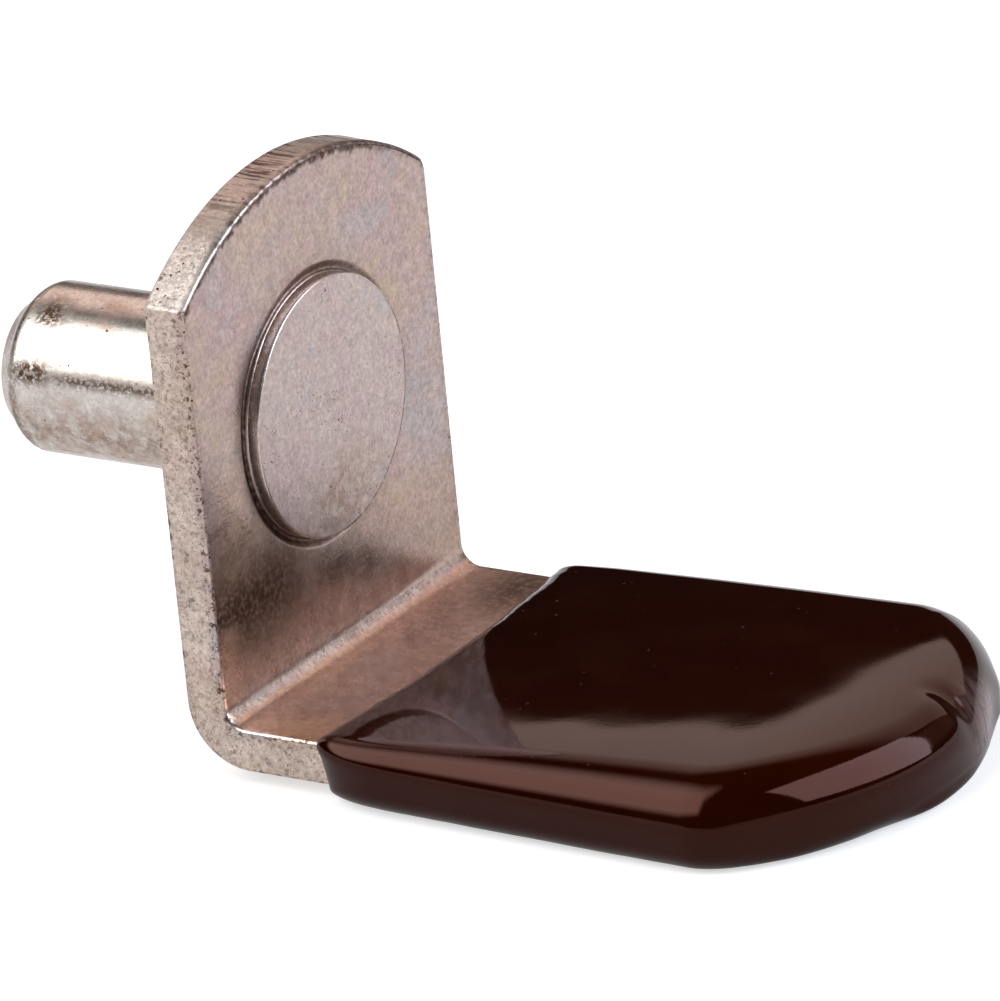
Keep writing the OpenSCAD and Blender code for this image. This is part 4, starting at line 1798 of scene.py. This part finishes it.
@dataclass
class Studio:
    """A pale floor with a low rim, four soft lights and the camera."""

    floor_z: float = -0.00908
    floor_radius: float = 0.62
    floor_around: int = 96
    floor_rings: int = 40
    rim_height: float = 0.060
    floor_colour: tuple[float, float, float] = (0.52, 0.52, 0.52)
    floor_lift: float = 0.60
    mirrored_lift: float = 0.25
    world_colour: tuple[float, float, float] = (0.014, 0.012, 0.011)
    key_level: float = 4.5
    back_level: float = 1.10
    back_colour: tuple[float, float, float] = (1.0, 0.79, 0.71)
    fill_level: float = 0.24
    right_level: float = 4.2
    right_colour: tuple[float, float, float] = (0.95, 1.04, 1.20)
    azimuth: float = 34.0018
    elevation: float = 21.8773
    roll: float = -5.6009
    focal_px: float = 9854.83
    shift_right: float = -6.1286
    shift_up: float = 2.9049
    distance: float = 280.06

    def floor(self) -> bpy.types.Object:
        """Makes the floor.

        Returns:
            A disc whose rim rises as a square, from 0.6 of its radius, so that level views see it.
        """
        turn = np.linspace(0.0, 2.0 * math.pi, self.floor_around + 1)
        turn[-1] = 0.0
        share = np.linspace(0.0, 1.0, self.floor_rings)[:, None]
        radius = share * self.floor_radius
        rise = self.rim_height * np.clip((share - 0.6) / 0.4, 0.0, 1.0) ** 2
        x = radius * np.cos(turn)
        grid = np.stack([x, radius * np.sin(turn), np.broadcast_to(self.floor_z + rise, x.shape)], -1)
        mesh = bpy.data.meshes.new("studio_floor")
        mesh.from_pydata(grid.reshape(-1, 3), [], grid_quads(*x.shape)[:, [0, 3, 2, 1]])
        work = bmesh.new()
        work.from_mesh(mesh)
        bmesh.ops.remove_doubles(work, verts=work.verts, dist=1e-6)
        work.to_mesh(mesh)
        work.free()
        mesh.polygons.foreach_set("use_smooth", np.ones(len(mesh.polygons), dtype=bool))
        mesh.materials.append(self.floor_material())
        made = add_object("studio_floor", mesh)
        return made

    def floor_material(self) -> bpy.types.Material:
        """Makes the floor's paint.

        Returns:
            Matt pale paint, lifted to white where it is seen and less where it is mirrored.
        """
        material = bpy.data.materials.new("studio_white")
        material.use_nodes = True
        nodes = Nodes(material.node_tree)
        nodes.tree.nodes.clear()
        paint, glow = nodes.node("ShaderNodeBsdfDiffuse"), nodes.node("ShaderNodeEmission")
        nodes.feed(paint.inputs["Color"], self.floor_colour)
        ray = nodes.node("ShaderNodeLightPath").outputs
        mirrored = nodes.maths("MAXIMUM", ray["Is Glossy Ray"], ray["Is Transmission Ray"])
        faint = nodes.maths("MULTIPLY", mirrored, self.mirrored_lift)
        lift = nodes.maths("MULTIPLY_ADD", ray["Is Camera Ray"], self.floor_lift, faint)
        nodes.link(lift, glow.inputs["Strength"])
        both = nodes.node("ShaderNodeAddShader")
        nodes.link(paint.outputs[0], both.inputs[0])
        nodes.link(glow.outputs[0], both.inputs[1])
        nodes.link(both.outputs[0], nodes.node("ShaderNodeOutputMaterial").inputs["Surface"])
        return material

    def lights(self) -> list[bpy.types.Object]:
        """Makes the soft lights.

        Returns:
            A large key light over the near side, a warm one behind, a cool one beyond the arm's
            tip, and a weak warm fill on the far side.
        """
        key = Softbox(
            "key_light",
            toward=(-0.47, -0.535, 0.77),
            across=(1.0, 0.0, 0.0),
            distance=0.56,
            width=0.66,
            height=0.75,
            radiance=self.key_level,
            fade_sides=0.16,
            fade_low=0.23,
            fade_high=0.42,
        )
        back = Softbox(
            "back_light",
            toward=(-0.153, 0.412, 0.447),
            across=(-1.0, 0.0, 0.35),
            distance=0.63,
            width=1.0,
            height=0.50,
            radiance=self.back_level,
            colour=self.back_colour,
            fade_high=0.45,
        )
        right = Softbox(
            "right_light",
            toward=(0.80, 0.22, 0.53),
            across=(0.0, 1.0, 0.0),
            distance=0.60,
            width=0.66,
            height=0.46,
            radiance=self.right_level,
            colour=self.right_colour,
        )
        fill = Softbox(
            "fill_light",
            toward=(0.56, 0.74, 0.37),
            across=(0.80, -0.60, 0.0),
            distance=0.62,
            width=0.44,
            height=0.30,
            radiance=self.fill_level,
            colour=self.back_colour,
            fade_sides=0.3,
            fade_low=0.2,
            fade_high=0.3,
        )
        return [box.build() for box in (key, back, right, fill)]

    def world(self) -> None:
        """Fills the room with a dim even grey."""
        world = bpy.data.worlds.new("studio_room")
        world.use_nodes = True
        back = world.node_tree.nodes["Background"]
        back.inputs["Color"].default_value = (*self.world_colour, 1.0)
        back.inputs["Strength"].default_value = 1.0
        bpy.context.scene.world = world

    def camera(self) -> bpy.types.Object:
        """Makes the camera.

        Returns:
            A camera that looks along the given azimuth and elevation, rolled about its own axis,
            and moved sideways and up in its own plane so that the object sits where it should.
        """
        turn, rise, lean = (math.radians(a) for a in (self.azimuth, self.elevation, self.roll))
        back = Vector((math.sin(turn) * math.cos(rise), -math.cos(turn) * math.cos(rise), math.sin(rise)))
        level = Vector((math.cos(turn), math.sin(turn), 0.0))
        above = back.cross(level)
        right = math.cos(lean) * level + math.sin(lean) * above
        up = -math.sin(lean) * level + math.cos(lean) * above
        place = (back * self.distance - right * self.shift_right - up * self.shift_up) * MM
        lens = bpy.data.cameras.new("studio_camera")
        lens.sensor_width = SENSOR_MM
        lens.lens = self.focal_px * SENSOR_MM / max(FRAME_WIDTH_PX, FRAME_HEIGHT_PX)
        lens.clip_start, lens.clip_end = 0.01, 5.0
        made = add_object("studio_camera", lens)
        axes = Matrix((right, up, back)).transposed().to_4x4()
        made.matrix_world = Matrix.Translation(place) @ axes
        bpy.context.scene.camera = made
        return made

    def build(self) -> None:
        """Makes the floor, the lights, the room and the camera."""
        bpy.context.scene.view_settings.view_transform = "Standard"
        self.floor()
        self.lights()
        self.world()
        self.camera()


# ---------------------------------------------------------------- the whole


def main() -> None:
    """Loads the frame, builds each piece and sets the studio."""
    logging.basicConfig(level=logging.INFO, format="%(name)s: %(message)s")
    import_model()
    for part in (Bracket(), Pin(), VinylSkin()):
        piece = part.build()
        log.info("built %s as %s", type(part).__name__, piece.name)
    Studio().build()
    bpy.context.view_layer.update()


if __name__ == "__main__":
    main()
